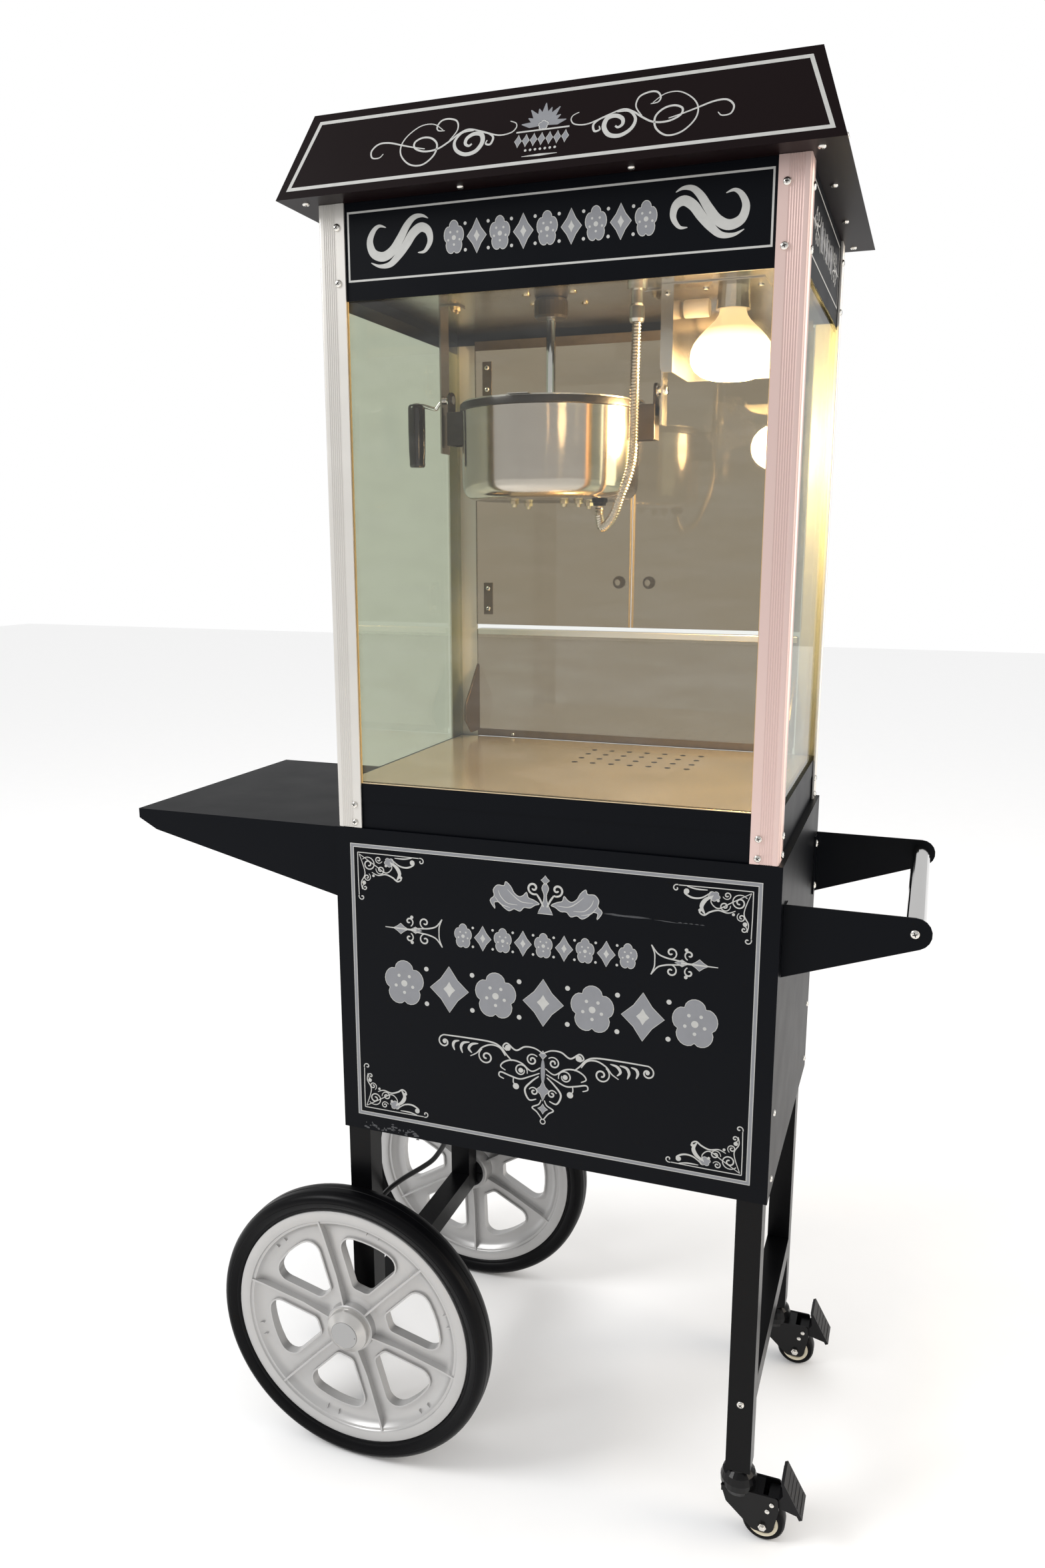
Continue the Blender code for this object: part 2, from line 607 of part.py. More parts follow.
def make_headers():
    """Panels between the posts above the glass: front, left, right and the control panel."""
    top = ROOF_BOTTOM - GAP
    inner = SKIN + SHEET + 0.0005
    node("header_front", box((P_LEFT + inner, P_FRONT + SKIN, HEADER_BOTTOM),
                             (P_RIGHT - inner, P_FRONT + SKIN + SHEET, top)), BLACK)
    for side, x in (("left", P_LEFT + SKIN), ("right", P_RIGHT - SKIN - SHEET)):
        node(f"header_{side}", box((x, P_FRONT + SKIN, HEADER_BOTTOM),
                                   (x + SHEET, P_REAR - SKIN, top)), BLACK)
    panel = node("control_panel", box((P_LEFT + inner, P_REAR - SKIN - SHEET, PANEL_BOTTOM),
                                      (P_RIGHT - inner, P_REAR - SKIN, top)), BLACK)
    slots = bmesh.new()
    for _, x in SWITCHES:
        box((x - 0.0075, P_REAR - 0.02, SWITCH_Z - SWITCH_REACH),
            (x + 0.0075, P_REAR + 0.02, SWITCH_Z + SWITCH_REACH), slots)
    cut(panel, slots)


def make_switches():
    """Three rocker keys in the control panel, each tilting on its own pivot."""
    face = P_REAR - SKIN
    for name, x in SWITCHES:
        outline = [(face - 0.0090, SWITCH_Z - 0.0050), (face + 0.0015, SWITCH_Z - 0.0105),
                   (face + 0.0050, SWITCH_Z - 0.0095), (face + 0.0022, SWITCH_Z),
                   (face + 0.0022, SWITCH_Z + 0.0095), (face - 0.0005, SWITCH_Z + 0.0103),
                   (face - 0.0090, SWITCH_Z + 0.0050)]
        node(f"switch_{name}", prism(outline, "X", x - 0.0068, x + 0.0068), DARK_PLASTIC,
             (x, face - 0.0060, SWITCH_Z))


def make_ceiling():
    """Sheet above the glass, with the motor's hole and the kettle cable's fitting."""
    inner = SKIN + SHEET + 0.0008
    ceiling = node("ceiling_panel", box((P_LEFT + inner, P_FRONT + inner, CEILING_HEIGHT),
                                        (P_RIGHT - inner, P_REAR - inner, CEILING_HEIGHT + SHEET)),
                   STEEL)
    cut(ceiling, rod("Z", (KETTLE_X, KETTLE_Y, CEILING_HEIGHT), 0.0125, -0.01, 0.01))
    x, y, low = CABLE_ROUTE[-1]
    low += GAP
    fitting = [(0, low), (0.0075, low), (0.0085, low + 0.0035), (0.0085, low + 0.0160),
               (0.0065, low + 0.0190), (0.0065, low + 0.0320), (0.0110, low + 0.0330),
               (0.0110, CEILING_HEIGHT + 0.0005), (0, CEILING_HEIGHT + 0.0005)]
    join(ceiling, lathe(fitting, "Z", (x, y, 0), 16))


def frustum(half_base, half_top, low, high):
    """A hipped block on the popper's centre line."""
    mesh = bmesh.new()
    rings = []
    for (half_x, half_y), z in ((half_base, low), (half_top, high)):
        rings.append([mesh.verts.new((CENTRE_X + sx * half_x, CENTRE_Y + sy * half_y, z))
                      for sx, sy in ((-1, -1), (1, -1), (1, 1), (-1, 1))])
    mesh.faces.new(rings[0])
    mesh.faces.new(rings[1])
    for i in range(4):
        j = (i + 1) % 4
        mesh.faces.new((rings[0][i], rings[0][j], rings[1][j], rings[1][i]))
    bmesh.ops.recalc_face_normals(mesh, faces=mesh.faces)
    return mesh


def make_roof():
    """Hipped canopy of thin sheet, with a flange turned in under its eaves."""
    base, top = (ROOF_HALF_WIDTH, ROOF_HALF_DEPTH), (ROOF_TOP_HALF_WIDTH, ROOF_TOP_HALF_DEPTH)
    roof = node("roof_canopy", frustum(base, top, ROOF_BOTTOM, ROOF_TOP), BLACK)
    wall = 0.0015
    cut(roof, frustum([v - wall - 0.0004 for v in base], [v - wall + 0.0003 for v in top],
                      ROOF_BOTTOM + wall, ROOF_TOP - wall))
    cut(roof, box((P_LEFT + 0.020, P_FRONT + 0.020, ROOF_BOTTOM - 0.01),
                  (P_RIGHT - 0.020, P_REAR - 0.020, ROOF_BOTTOM + 0.01)))


def make_glass():
    """Three fixed panes: front, left and right."""
    low, high = PLINTH_TOP + GAP, HEADER_BOTTOM + 0.012
    front = P_FRONT + SKIN + SHEET + 0.0012
    node("glass_front", box((P_LEFT + 0.0048, front, low), (P_RIGHT - 0.0048, front + PANE, high)),
         CLEAR)
    for side, x in (("left", P_LEFT + 0.0050), ("right", P_RIGHT - 0.0050 - PANE)):
        node(f"glass_{side}", box((x, front + PANE + 0.0005, low), (x + PANE, P_REAR - 0.0065, high)),
             CLEAR)


FLAP_PIVOT_Z = 0.8820
FLAP_TOP = 1.0300
DOOR_LOW = 1.0360
DOOR_HIGH = 1.4060
DOOR_FRONT = P_REAR - 0.0065
DOOR_BACK = P_REAR - 0.0025


def make_rear_doors():
    """Two clear swing doors hung on the rear posts, with a pull at each meeting edge."""
    for side, hinge_x, edge_x in (("left", P_LEFT + POST + 0.0008, CENTRE_X - 0.0008),
                                  ("right", P_RIGHT - POST - 0.0008, CENTRE_X + 0.0008)):
        low, high = min(hinge_x, edge_x), max(hinge_x, edge_x)
        door = node(f"door_{side}", box((low, DOOR_FRONT, DOOR_LOW), (high, DOOR_BACK, DOOR_HIGH)),
                    CLEAR, (hinge_x, DOOR_BACK, (DOOR_LOW + DOOR_HIGH) / 2))
        pull_x = edge_x + math.copysign(0.020, hinge_x - edge_x)
        pull = [(0, -0.0005), (0.0045, -0.0005), (0.0045, 0.006), (0.0085, 0.009),
                (0.0085, 0.014), (0, 0.014)]
        join(door, lathe(pull, "Y", (pull_x, DOOR_BACK, DOOR_LOW + 0.060), 12))


def make_serving_flap():
    """Clear flap below the doors: it tips out on its lower edge, between two end cheeks."""
    low_x, high_x = P_LEFT + POST + 0.0012, P_RIGHT - POST - 0.0012
    flap = node("serving_flap", box((low_x, DOOR_FRONT, FLAP_PIVOT_Z + 0.002),
                                    (high_x, DOOR_BACK, FLAP_TOP)), CLEAR,
                (CENTRE_X, DOOR_BACK, FLAP_PIVOT_Z))
    y = DOOR_FRONT + 0.0005
    cheek = [(y, 0.8845), (y - 0.030, 0.8850), (y - 0.052, 0.9060), (y - 0.050, 0.9280), (y, 0.9830)]
    for start in (low_x, high_x - 0.003):
        join(flap, prism(cheek, "X", start, start + 0.003))
    join(flap, box((low_x + 0.04, DOOR_BACK - 0.0005, FLAP_TOP - 0.0030),
                   (high_x - 0.04, DOOR_BACK + 0.0100, FLAP_TOP)))


# ---- kettle and drive ------------------------------------------------------------------
def make_kettle():
    """Spun pan with a rolled rim, a pivot ear on each side and a fixed rear half lid."""
    centre = (KETTLE_X, KETTLE_Y, 0)
    wall = 0.0020
    outer, low, top = KETTLE_RADIUS, KETTLE_BOTTOM, KETTLE_TOP
    inner = outer - wall - 0.001
    profile = [(0, low), (outer - 0.016, low), (outer - 0.008, low + 0.0025),
               (outer - 0.0025, low + 0.0080), (outer - 0.0005, low + 0.0150), (outer, top - 0.0100),
               (outer + 0.0020, top - 0.0080), (outer + 0.0020, top), (inner, top),
               (inner, low + 0.0160), (inner - 0.0030, low + 0.0085), (inner - 0.0130, low + wall),
               (0, low + wall)]
    kettle = node("kettle", lathe(profile, "Z", centre, 44), STEEL, (KETTLE_X, KETTLE_Y, PIVOT_Z), 35)
    ears, pins = bmesh.new(), bmesh.new()
    for sign in (-1, 1):
        low_x, high_x = sorted((KETTLE_X + sign * (outer - 0.0010), KETTLE_X + sign * (outer + 0.0240)))
        box((low_x, KETTLE_Y - EAR_HALF, EAR_LOW), (high_x, KETTLE_Y + EAR_HALF, EAR_HIGH), ears)
    join(kettle, ears)
    plates = bmesh.new()
    for sign in (-1, 1):
        low_x, high_x = sorted((KETTLE_X + sign * (outer + 0.0205), KETTLE_X + sign * (outer + 0.0235)))
        box((low_x, KETTLE_Y - 0.0090, EAR_HIGH - 0.0030), (high_x, KETTLE_Y + 0.0090, PIVOT_Z + 0.0090),
            plates)
        start, end = sorted((sign * (outer + 0.0215), sign * (PIVOT_REACH + 0.0050)))
        rod("X", (KETTLE_X, KETTLE_Y, PIVOT_Z), PIVOT_RADIUS, start, end, 16, pins)
    join(kettle, plates)
    join(kettle, pins)
    radius = outer - 0.0005
    rear_arc = [(KETTLE_X + radius * math.cos(a), KETTLE_Y + max(radius * math.sin(a), 0.0010))
                for a in (math.pi * k / 18 for k in range(19))]
    join(kettle, prism(rear_arc, "Z", top - 0.0008, LID_TOP))
    cut(kettle, rod("Z", (KETTLE_X, KETTLE_Y, top), 0.0085, -0.01, 0.01))
    join(kettle, rod("Z", (CABLE_ROUTE[0][0], CABLE_ROUTE[0][1], low), 0.0090, -0.0075, 0.0005, 16))


def make_kettle_lid():
    """Front half lid, hinged on the kettle's middle line, notched round the shaft."""
    radius = KETTLE_RADIUS - 0.0005
    bottom = KETTLE_TOP + GAP
    arc = [(KETTLE_X + radius * math.cos(a), KETTLE_Y - max(radius * math.sin(a), 0.0010))
           for a in (math.pi * k / 18 for k in range(19))]
    lid = node("kettle_lid", prism(arc, "Z", bottom, LID_TOP), STEEL,
               (KETTLE_X, KETTLE_Y - 0.001, bottom))
    cut(lid, rod("Z", (KETTLE_X, KETTLE_Y, bottom), 0.0140, -0.01, 0.01))
    join(lid, box((KETTLE_X - 0.012, KETTLE_Y - radius - 0.010, bottom + 0.0002),
                  (KETTLE_X + 0.012, KETTLE_Y - radius + 0.004, LID_TOP - 0.0002)))


def make_stirrer():
    """Short spindle in the kettle with crossed blades just above its floor."""
    base = KETTLE_BOTTOM + 0.0034
    stirrer = node("stirrer", rod("Z", (KETTLE_X, KETTLE_Y, 0), 0.0050, base + 0.001, STIR_TOP, 16),
                   STEEL, (KETTLE_X, KETTLE_Y, STIR_TOP), 35)
    join(stirrer, box((KETTLE_X - 0.085, KETTLE_Y - 0.002, base),
                      (KETTLE_X + 0.085, KETTLE_Y + 0.002, base + 0.006)))
    join(stirrer, box((KETTLE_X - 0.0021, KETTLE_Y - 0.050, base + 0.0001),
                      (KETTLE_X + 0.0021, KETTLE_Y + 0.050, base + 0.0061)))


def make_drive():
    """Gear motor above the ceiling, with its collar below it, and the drive shaft."""
    axis = (KETTLE_X, KETTLE_Y, 0)
    above = CEILING_HEIGHT + SHEET + GAP
    motor = node("gear_motor", box((KETTLE_X - 0.045, KETTLE_Y - 0.032, above),
                                   (KETTLE_X + 0.045, KETTLE_Y + 0.040, above + 0.038)),
                 ((0.25, 0.25, 0.26), 0.5, 1.0))
    join(motor, rod("Z", (KETTLE_X + 0.010, KETTLE_Y + 0.004, 0), 0.026, above + 0.030, above + 0.052, 24))
    collar = [(0, COLLAR_LOW), (0.0175, COLLAR_LOW), (0.0195, COLLAR_LOW + 0.0025),
              (0.0195, COLLAR_HIGH - 0.0033), (0.0180, COLLAR_HIGH), (0.0115, COLLAR_HIGH),
              (0.0115, above + 0.005), (0, above + 0.005)]
    join(motor, lathe(collar, "Z", axis, 24))
    cut(motor, rod("Z", axis, SHAFT_RADIUS + GAP, COLLAR_LOW - 0.013, SHAFT_TOP + 0.001, 20))
    node("drive_shaft", rod("Z", axis, SHAFT_RADIUS, SHAFT_BOTTOM, SHAFT_TOP, 20), CHROME,
         (KETTLE_X, KETTLE_Y, SHAFT_BOTTOM), 35)


def make_hangers():
    """Two straps, each bolted to the ceiling by a foot, that carry the kettle's pins."""
    for side, sign, drop in (("left", -1, 0.063), ("right", 1, 0.038)):
        face = KETTLE_X + sign * PIVOT_REACH
        back = face + sign * 0.0020
        low, high = min(face, back), max(face, back)
        top = CEILING_HEIGHT - GAP
        strap = node(f"hanger_{side}", box((low, KETTLE_Y - 0.012, PIVOT_Z - drop),
                                           (high, KETTLE_Y + 0.012, top)), STEEL)
        toe = face - sign * 0.022
        join(strap, box((min(toe, back), KETTLE_Y - 0.0119, top - 0.0020),
                        (max(toe, back), KETTLE_Y + 0.0119, top)))
        cut(strap, rod("X", (face, KETTLE_Y, PIVOT_Z), PIVOT_RADIUS + 0.0004, -0.02, 0.02))


def make_tilt_handle():
    """Chromed crank on the left pin with a hanging black grip."""
    start = KETTLE_X - PIVOT_REACH - 0.0054
    grip = [(0, GRIP_LOW), (0.0085, GRIP_LOW), (0.0100, GRIP_LOW + 0.0020), (0.0105, GRIP_LOW + 0.0200),
            (0.0105, GRIP_HIGH - 0.0040), (0.0095, GRIP_HIGH), (0, GRIP_HIGH)]
    handle = node("tilt_handle", lathe(grip, "Z", (GRIP_X, KETTLE_Y, 0), 20), DARK_PLASTIC,
                  (KETTLE_X, KETTLE_Y, PIVOT_Z), 35)
    join(handle, rod("X", (0, KETTLE_Y, CRANK_Z), 0.0036, GRIP_X + 0.0050, start, 12))


CABLE_RADIUS = 0.0055
CABLE_ROUTE = [(0.0823, -0.0200, 1.1902), (0.0825, -0.0205, 1.1790), (0.0895, -0.0300, 1.1660),
               (0.1050, -0.0430, 1.1780), (0.1145, -0.0500, 1.1980), (0.1235, -0.0510, 1.2200),
               (0.1280, -0.0500, 1.2450), (0.1288, -0.0500, 1.2850), (0.1290, -0.0500, 1.3350),
               (0.1300, -0.0500, 1.3820)]


def make_kettle_cable():
    """Armoured supply tube from the kettle's gland up to the fitting in the ceiling."""
    steel = ((0.45, 0.40, 0.34), 0.35, 1.0)
    pipe("kettle_cable", smooth_path(CABLE_ROUTE, 0.011), CABLE_RADIUS, steel)


def make_lamp():
    """Bracket open to the front and right, with its socket, and a reflector bulb."""
    top, low = CEILING_HEIGHT - GAP, 1.3330
    low_x, high_x = LAMP_X - 0.0604, LAMP_X + 0.0390
    back, front = LAMP_Y + 0.0520, LAMP_Y - 0.0350
    bracket = node("lamp_bracket", box((low_x, front, low), (high_x, back, top)), STEEL)
    cut(bracket, box((low_x + SHEET, front - 0.01, low - 0.01),
                     (high_x + 0.01, back - SHEET, top - SHEET)))
    flange = rounded([(low_x - 0.0125, top, 0), (low_x - 0.0125, low, 0.006), (low_x + 0.0006, low, 0),
                      (low_x + 0.0006, top, 0)], 4)
    join(bracket, prism(flange, "Y", front + 0.0001, front + SHEET))
    socket = [(0, top - 0.0006), (0.0170, top - 0.0006), (0.0190, 1.4000), (0.0155, 1.4000),
              (0.0155, top - 0.0110), (0, top - 0.0110)]
    join(bracket, lathe(socket, "Z", (LAMP_X, LAMP_Y, 0), 20))
    bulb = [(0, 1.3250), (0.0230, 1.3262), (0.0390, 1.3350), (0.0460, 1.3500), (0.0440, 1.3620),
            (0.0330, 1.3750), (0.0200, 1.3870), (0.0145, 1.3960), (0.0140, 1.4110), (0, 1.4120)]
    glow = ((1.0, 0.86, 0.62), 0.3, 0.0, 1.0, 4.0)
    node("lamp_bulb", lathe(bulb, "Z", (LAMP_X, LAMP_Y, 0), 28), glow, (LAMP_X, LAMP_Y, 1.4110), 35)


# ---- supply cord -----------------------------------------------------------------------
CORD_ROUTE = [(-0.0830, -0.1080, 0.4195), (-0.0835, -0.1082, 0.4080), (-0.0870, -0.1095, 0.3970),
              (-0.0930, -0.1120, 0.3860), (-0.1010, -0.1140, 0.3750), (-0.1130, -0.1175, 0.3650),
              (-0.1390, -0.1270, 0.3470), (-0.1600, -0.1325, 0.3270), (-0.1780, -0.1345, 0.2980),
              (-0.1900, -0.1345, 0.2550), (-0.1950, -0.1340, 0.2000), (-0.1955, -0.1340, 0.1300),
              (-0.1950, -0.1345, 0.0700), (-0.1950, -0.1330, 0.0280), (-0.1980, -0.1220, 0.0080),
              (-0.2040, -0.1060, 0.0038), (-0.2140, -0.0880, 0.0038), (-0.2270, -0.0700, 0.0038),
              (-0.2340, -0.0560, 0.0038), (-0.2355, -0.0435, 0.0038)]
COIL_CENTRE = (-0.270, -0.015)
COIL_MIDDLE_RADIUS = 0.034
COIL_WIDE, COIL_HIGH = 2, 3       # turns side by side, and stacked
PLUG_CENTRE = (-0.3190, 0.0310, 0.0125)


def make_cord():
    """Gland in the cabinet's floor, the lead, its tied coil and its plug."""
    gland = [(0.0036, 0.4200), (0.0075, 0.4200), (0.0085, 0.4270), (0.0095, CABINET_BOTTOM - GAP),
             (0.0060, CABINET_BOTTOM - GAP), (0.0060, 0.4470), (0.0036, 0.4470)]
    node("cord_gland", lathe(gland, "Z", (GLAND_X, GLAND_Y, 0), 16), DARK_PLASTIC,
         (GLAND_X, GLAND_Y, CABINET_BOTTOM), 35)
    rubber = ((0.012, 0.012, 0.012), 0.5)
    pipe("supply_cord", smooth_path(CORD_ROUTE, 0.012), CORD_RADIUS, rubber)
    make_coil(rubber)
    make_plug()


def make_coil(look):
    """The outer shape of the coiled length, lying on the floor."""
    half = COIL_WIDE * CORD_RADIUS
    low, high = COIL_MIDDLE_RADIUS - half, COIL_MIDDLE_RADIUS + half
    top, edge = 2 * CORD_RADIUS * COIL_HIGH, 0.0020
    ring = [(low, 0.0005 + edge), (low + edge, 0.0005), (high - edge, 0.0005), (high, 0.0005 + edge),
            (high, top - edge), (high - edge, top), (low + edge, top), (low, top - edge)]
    node("cord_coil", lathe(ring, "Z", (*COIL_CENTRE, 0), 32), look, (*COIL_CENTRE, 0), 35)


def make_plug():
    """Moulded two-blade plug with its strain relief, lying on the floor beside the coil."""
    x, y, z = PLUG_CENTRE
    plug = node("plug", box((x - 0.0140, y - 0.0120, z - 0.0120), (x + 0.0180, y + 0.0120, z + 0.0120)),
                DARK_PLASTIC, PLUG_CENTRE)
    join(plug, rod("X", PLUG_CENTRE, 0.0050, 0.0175, 0.0350, 12))
    blades = box((x - 0.0310, y - 0.0072, z - 0.0032), (x - 0.0135, y - 0.0057, z + 0.0032))
    box((x - 0.0310, y + 0.0057, z - 0.0032), (x - 0.0135, y + 0.0072, z + 0.0032), blades)
    join(plug, blades)


def main():
    clear_scene()
    make_cabinet_shell()
    make_cabinet_door()
    make_legs()
    make_rails()
    make_axle()
    make_wheel("front", FRONT)
    make_wheel("rear", REAR)
    make_caster("front", FRONT)
    make_caster("rear", REAR)
    make_shelf()
    make_handle()
    make_posts()
    make_plinth()
    make_crumb_drawer()
    make_floor_tray()
    make_headers()
    make_switches()
    make_ceiling()
    make_roof()
    make_glass()
    make_rear_doors()
    make_serving_flap()
    make_kettle()
    make_kettle_lid()
    make_stirrer()
    make_drive()
    make_hangers()
    make_tilt_handle()
    make_kettle_cable()
    make_lamp()
    make_cord()


main()
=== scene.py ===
import math
import random

import bmesh
import bpy
from mathutils import Matrix, Vector


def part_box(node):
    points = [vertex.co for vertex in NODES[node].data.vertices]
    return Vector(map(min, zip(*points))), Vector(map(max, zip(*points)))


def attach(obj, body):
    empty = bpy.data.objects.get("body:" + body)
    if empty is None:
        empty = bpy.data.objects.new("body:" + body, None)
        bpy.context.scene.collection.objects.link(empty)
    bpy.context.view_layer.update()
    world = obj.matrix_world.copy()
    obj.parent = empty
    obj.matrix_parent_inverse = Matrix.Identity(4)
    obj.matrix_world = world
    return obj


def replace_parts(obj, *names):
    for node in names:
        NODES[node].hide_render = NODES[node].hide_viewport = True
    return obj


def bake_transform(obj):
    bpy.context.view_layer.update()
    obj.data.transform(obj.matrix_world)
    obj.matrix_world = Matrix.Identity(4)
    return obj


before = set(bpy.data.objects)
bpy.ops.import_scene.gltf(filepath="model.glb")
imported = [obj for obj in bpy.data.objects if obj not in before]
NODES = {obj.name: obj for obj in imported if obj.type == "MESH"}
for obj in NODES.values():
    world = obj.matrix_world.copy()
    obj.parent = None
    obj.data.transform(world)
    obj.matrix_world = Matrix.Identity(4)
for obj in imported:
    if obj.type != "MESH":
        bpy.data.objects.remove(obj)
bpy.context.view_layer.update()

# ---- places read from the frame ----------------------------------------------------------
CABINET_LOW, CABINET_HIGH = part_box("cabinet_shell")
ROOF_LOW, ROOF_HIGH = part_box("roof_canopy")
HEADER_LOW, HEADER_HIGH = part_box("header_front")
SIDE_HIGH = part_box("header_right")[1]
POST_LOW, POST_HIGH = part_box("post_front_right")
POST_LEFT_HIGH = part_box("post_front_left")[1]
REAR_POST_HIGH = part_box("post_rear_right")[1]
GLASS_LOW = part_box("glass_front")[0]
DOOR_LOW, DOOR_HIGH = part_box("door_left")
FLAP_LOW, FLAP_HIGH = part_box("serving_flap")
TRAY_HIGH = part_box("floor_tray")[1]
PLINTH_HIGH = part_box("plinth")[1]
SHAFT_LOW, SHAFT_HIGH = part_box("drive_shaft")
BULB_LOW, BULB_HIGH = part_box("lamp_bulb")
BRACKET_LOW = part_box("lamp_bracket")[0]
HANGER_LEFT_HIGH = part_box("hanger_left")[1]
HANGER_RIGHT_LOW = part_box("hanger_right")[0]
CENTRE_X = (CABINET_LOW[0] + CABINET_HIGH[0]) / 2
CENTRE_Y = (CABINET_LOW[1] + CABINET_HIGH[1]) / 2
KETTLE_X = (SHAFT_LOW[0] + SHAFT_HIGH[0]) / 2
KETTLE_Y = (SHAFT_LOW[1] + SHAFT_HIGH[1]) / 2
CEILING = HEADER_HIGH[2] - 0.0717
ROOF_TOP_LOW_Y = ROOF_LOW[1] + 0.0377
LAMP_X = (BULB_LOW[0] + BULB_HIGH[0]) / 2
LAMP_Y = (BULB_LOW[1] + BULB_HIGH[1]) / 2

# ---- sizes and directions ----------------------------------------------------------------
KETTLE_RADIUS = 0.105
KETTLE_BOTTOM = 1.198
OVER_KETTLE = Matrix.Translation((KETTLE_X, KETTLE_Y, 0))
POST_SCREW_HEIGHTS = (1.4734, 1.4182, 0.8497, 0.8288)
MM = 0.001
INK_HEIGHT = 0.00016
INK_ROOT = 0.0001
DISC_SIDES = 18
SPOKES = 6
SPOKE_STEP = math.tau / SPOKES
FRONTWARD, BACKWARD, DOWN = (0, -1, 0), (0, 1, 0), (0, 0, -1)
ALONG_X = Matrix(((0, 0, 1, 0), (1, 0, 0, 0), (0, 1, 0, 0), (0, 0, 0, 1)))

CORD_RADIUS = 0.00325
CORD_ROUTE = [(-0.0830, -0.1080, 0.4195), (-0.0835, -0.1082, 0.4080), (-0.0870, -0.1095, 0.3970),
              (-0.0930, -0.1120, 0.3860), (-0.1010, -0.1140, 0.3750), (-0.1130, -0.1175, 0.3650),
              (-0.1390, -0.1270, 0.3470), (-0.1600, -0.1325, 0.3270), (-0.1780, -0.1345, 0.2980),
              (-0.1900, -0.1345, 0.2550), (-0.1950, -0.1340, 0.2000), (-0.1955, -0.1340, 0.1300),
              (-0.1950, -0.1345, 0.0700), (-0.1950, -0.1330, 0.0280), (-0.1980, -0.1220, 0.0080),
              (-0.2040, -0.1060, 0.0038), (-0.2140, -0.0880, 0.0038), (-0.2270, -0.0700, 0.0038),
              (-0.2340, -0.0560, 0.0038), (-0.2355, -0.0435, 0.0038)]
COIL_CENTRE = (-0.270, -0.015)
COIL_MIDDLE_RADIUS = 0.034
PLUG_TAIL = (-0.2850, 0.0310, 0.0125)
CABLE_RADIUS = 0.0055
CABLE_ROUTE = [(0.0823, -0.0200, 1.1902), (0.0825, -0.0205, 1.1790), (0.0895, -0.0300, 1.1660),
               (0.1050, -0.0430, 1.1780), (0.1145, -0.0500, 1.1980), (0.1235, -0.0510, 1.2200),
               (0.1280, -0.0500, 1.2450), (0.1288, -0.0500, 1.2850), (0.1290, -0.0500, 1.3350),
               (0.1300, -0.0500, 1.3820)]


# ---- mesh helpers ------------------------------------------------------------------------
def piece(name, mesh, look, body, smooth=35.0, bevel=0.0, extra=()):
    """Turn a bmesh into a shown object that rides on a body."""
    bmesh.ops.recalc_face_normals(mesh, faces=mesh.faces)
    data = bpy.data.meshes.new(name)
    mesh.to_mesh(data)
    mesh.free()
    for material in (look, *extra):
        data.materials.append(material)
    if smooth:
        data.shade_smooth()
        data.set_sharp_from_angle(angle=math.radians(smooth))
    item = bpy.data.objects.new(name, data)
    bpy.context.scene.collection.objects.link(item)
    if bevel:
        soften(item, bevel)
    if body:
        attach(item, body)
    return item


def soften(item, width, segments=2):
    """Round an object's sharp edges a little, so that they catch the light."""
    bevel = item.modifiers.new("Bevel", "BEVEL")
    bevel.width = width
    bevel.segments = segments
    bevel.limit_method = "ANGLE"
    bevel.angle_limit = math.radians(40)
    bevel.harden_normals = False


def move(mesh, matrix):
    """The same bmesh, moved."""
    bmesh.ops.transform(mesh, matrix=matrix, verts=mesh.verts)
    return mesh


def at(x, y, z=0):
    return Matrix.Translation((x, y, z))


def middle_of(name):
    """The centre of a node's box."""
    low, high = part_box(name)
    return (Vector(low) + Vector(high)) / 2


def add(target, source, matrix=None, slot=0):
    """Copy one bmesh into another, moved and given a material slot, and free the first."""
    if matrix is not None:
        move(source, matrix)
    for face in source.faces:
        face.material_index = slot
    join(target, source)


def join(target, source):
    """Copy one bmesh into another with the slots it has, and free the first."""
    data = bpy.data.meshes.new("part")
    source.to_mesh(data)
    source.free()
    target.from_mesh(data)
    bpy.data.meshes.remove(data)


def box(low, high):
    """An axis-aligned box between two corners."""
    mesh = bmesh.new()
    low, high = Vector(low), Vector(high)
    place = Matrix.Translation((low + high) / 2) @ Matrix.Diagonal((*(high - low), 1.0))
    bmesh.ops.create_cube(mesh, size=1.0, matrix=place)
    return mesh


def prism(outline, low, high):
    """Extrude an outline in the XY plane from one height to another."""
    mesh = bmesh.new()
    bottom = [mesh.verts.new((a, b, low)) for a, b in outline]
    top = [mesh.verts.new((a, b, high)) for a, b in outline]
    mesh.faces.new(list(reversed(bottom)))
    mesh.faces.new(top)
    count = len(outline)
    for i in range(count):
        j = (i + 1) % count
        mesh.faces.new((bottom[i], bottom[j], top[j], top[i]))
    bmesh.ops.recalc_face_normals(mesh, faces=mesh.faces)
    return mesh


def ring_prism(inner, outer, low, high):
    """A closed band between two outlines with the same number of points."""
    mesh = bmesh.new()
    loops = [[mesh.verts.new((a, b, z)) for a, b in outline]
             for outline, z in ((inner, low), (outer, low), (outer, high), (inner, high))]
    count = len(inner)
    for here, there in zip(loops, loops[1:] + loops[:1]):
        for i in range(count):
            j = (i + 1) % count
            mesh.faces.new((here[i], here[j], there[j], there[i]))
    bmesh.ops.recalc_face_normals(mesh, faces=mesh.faces)
    return mesh


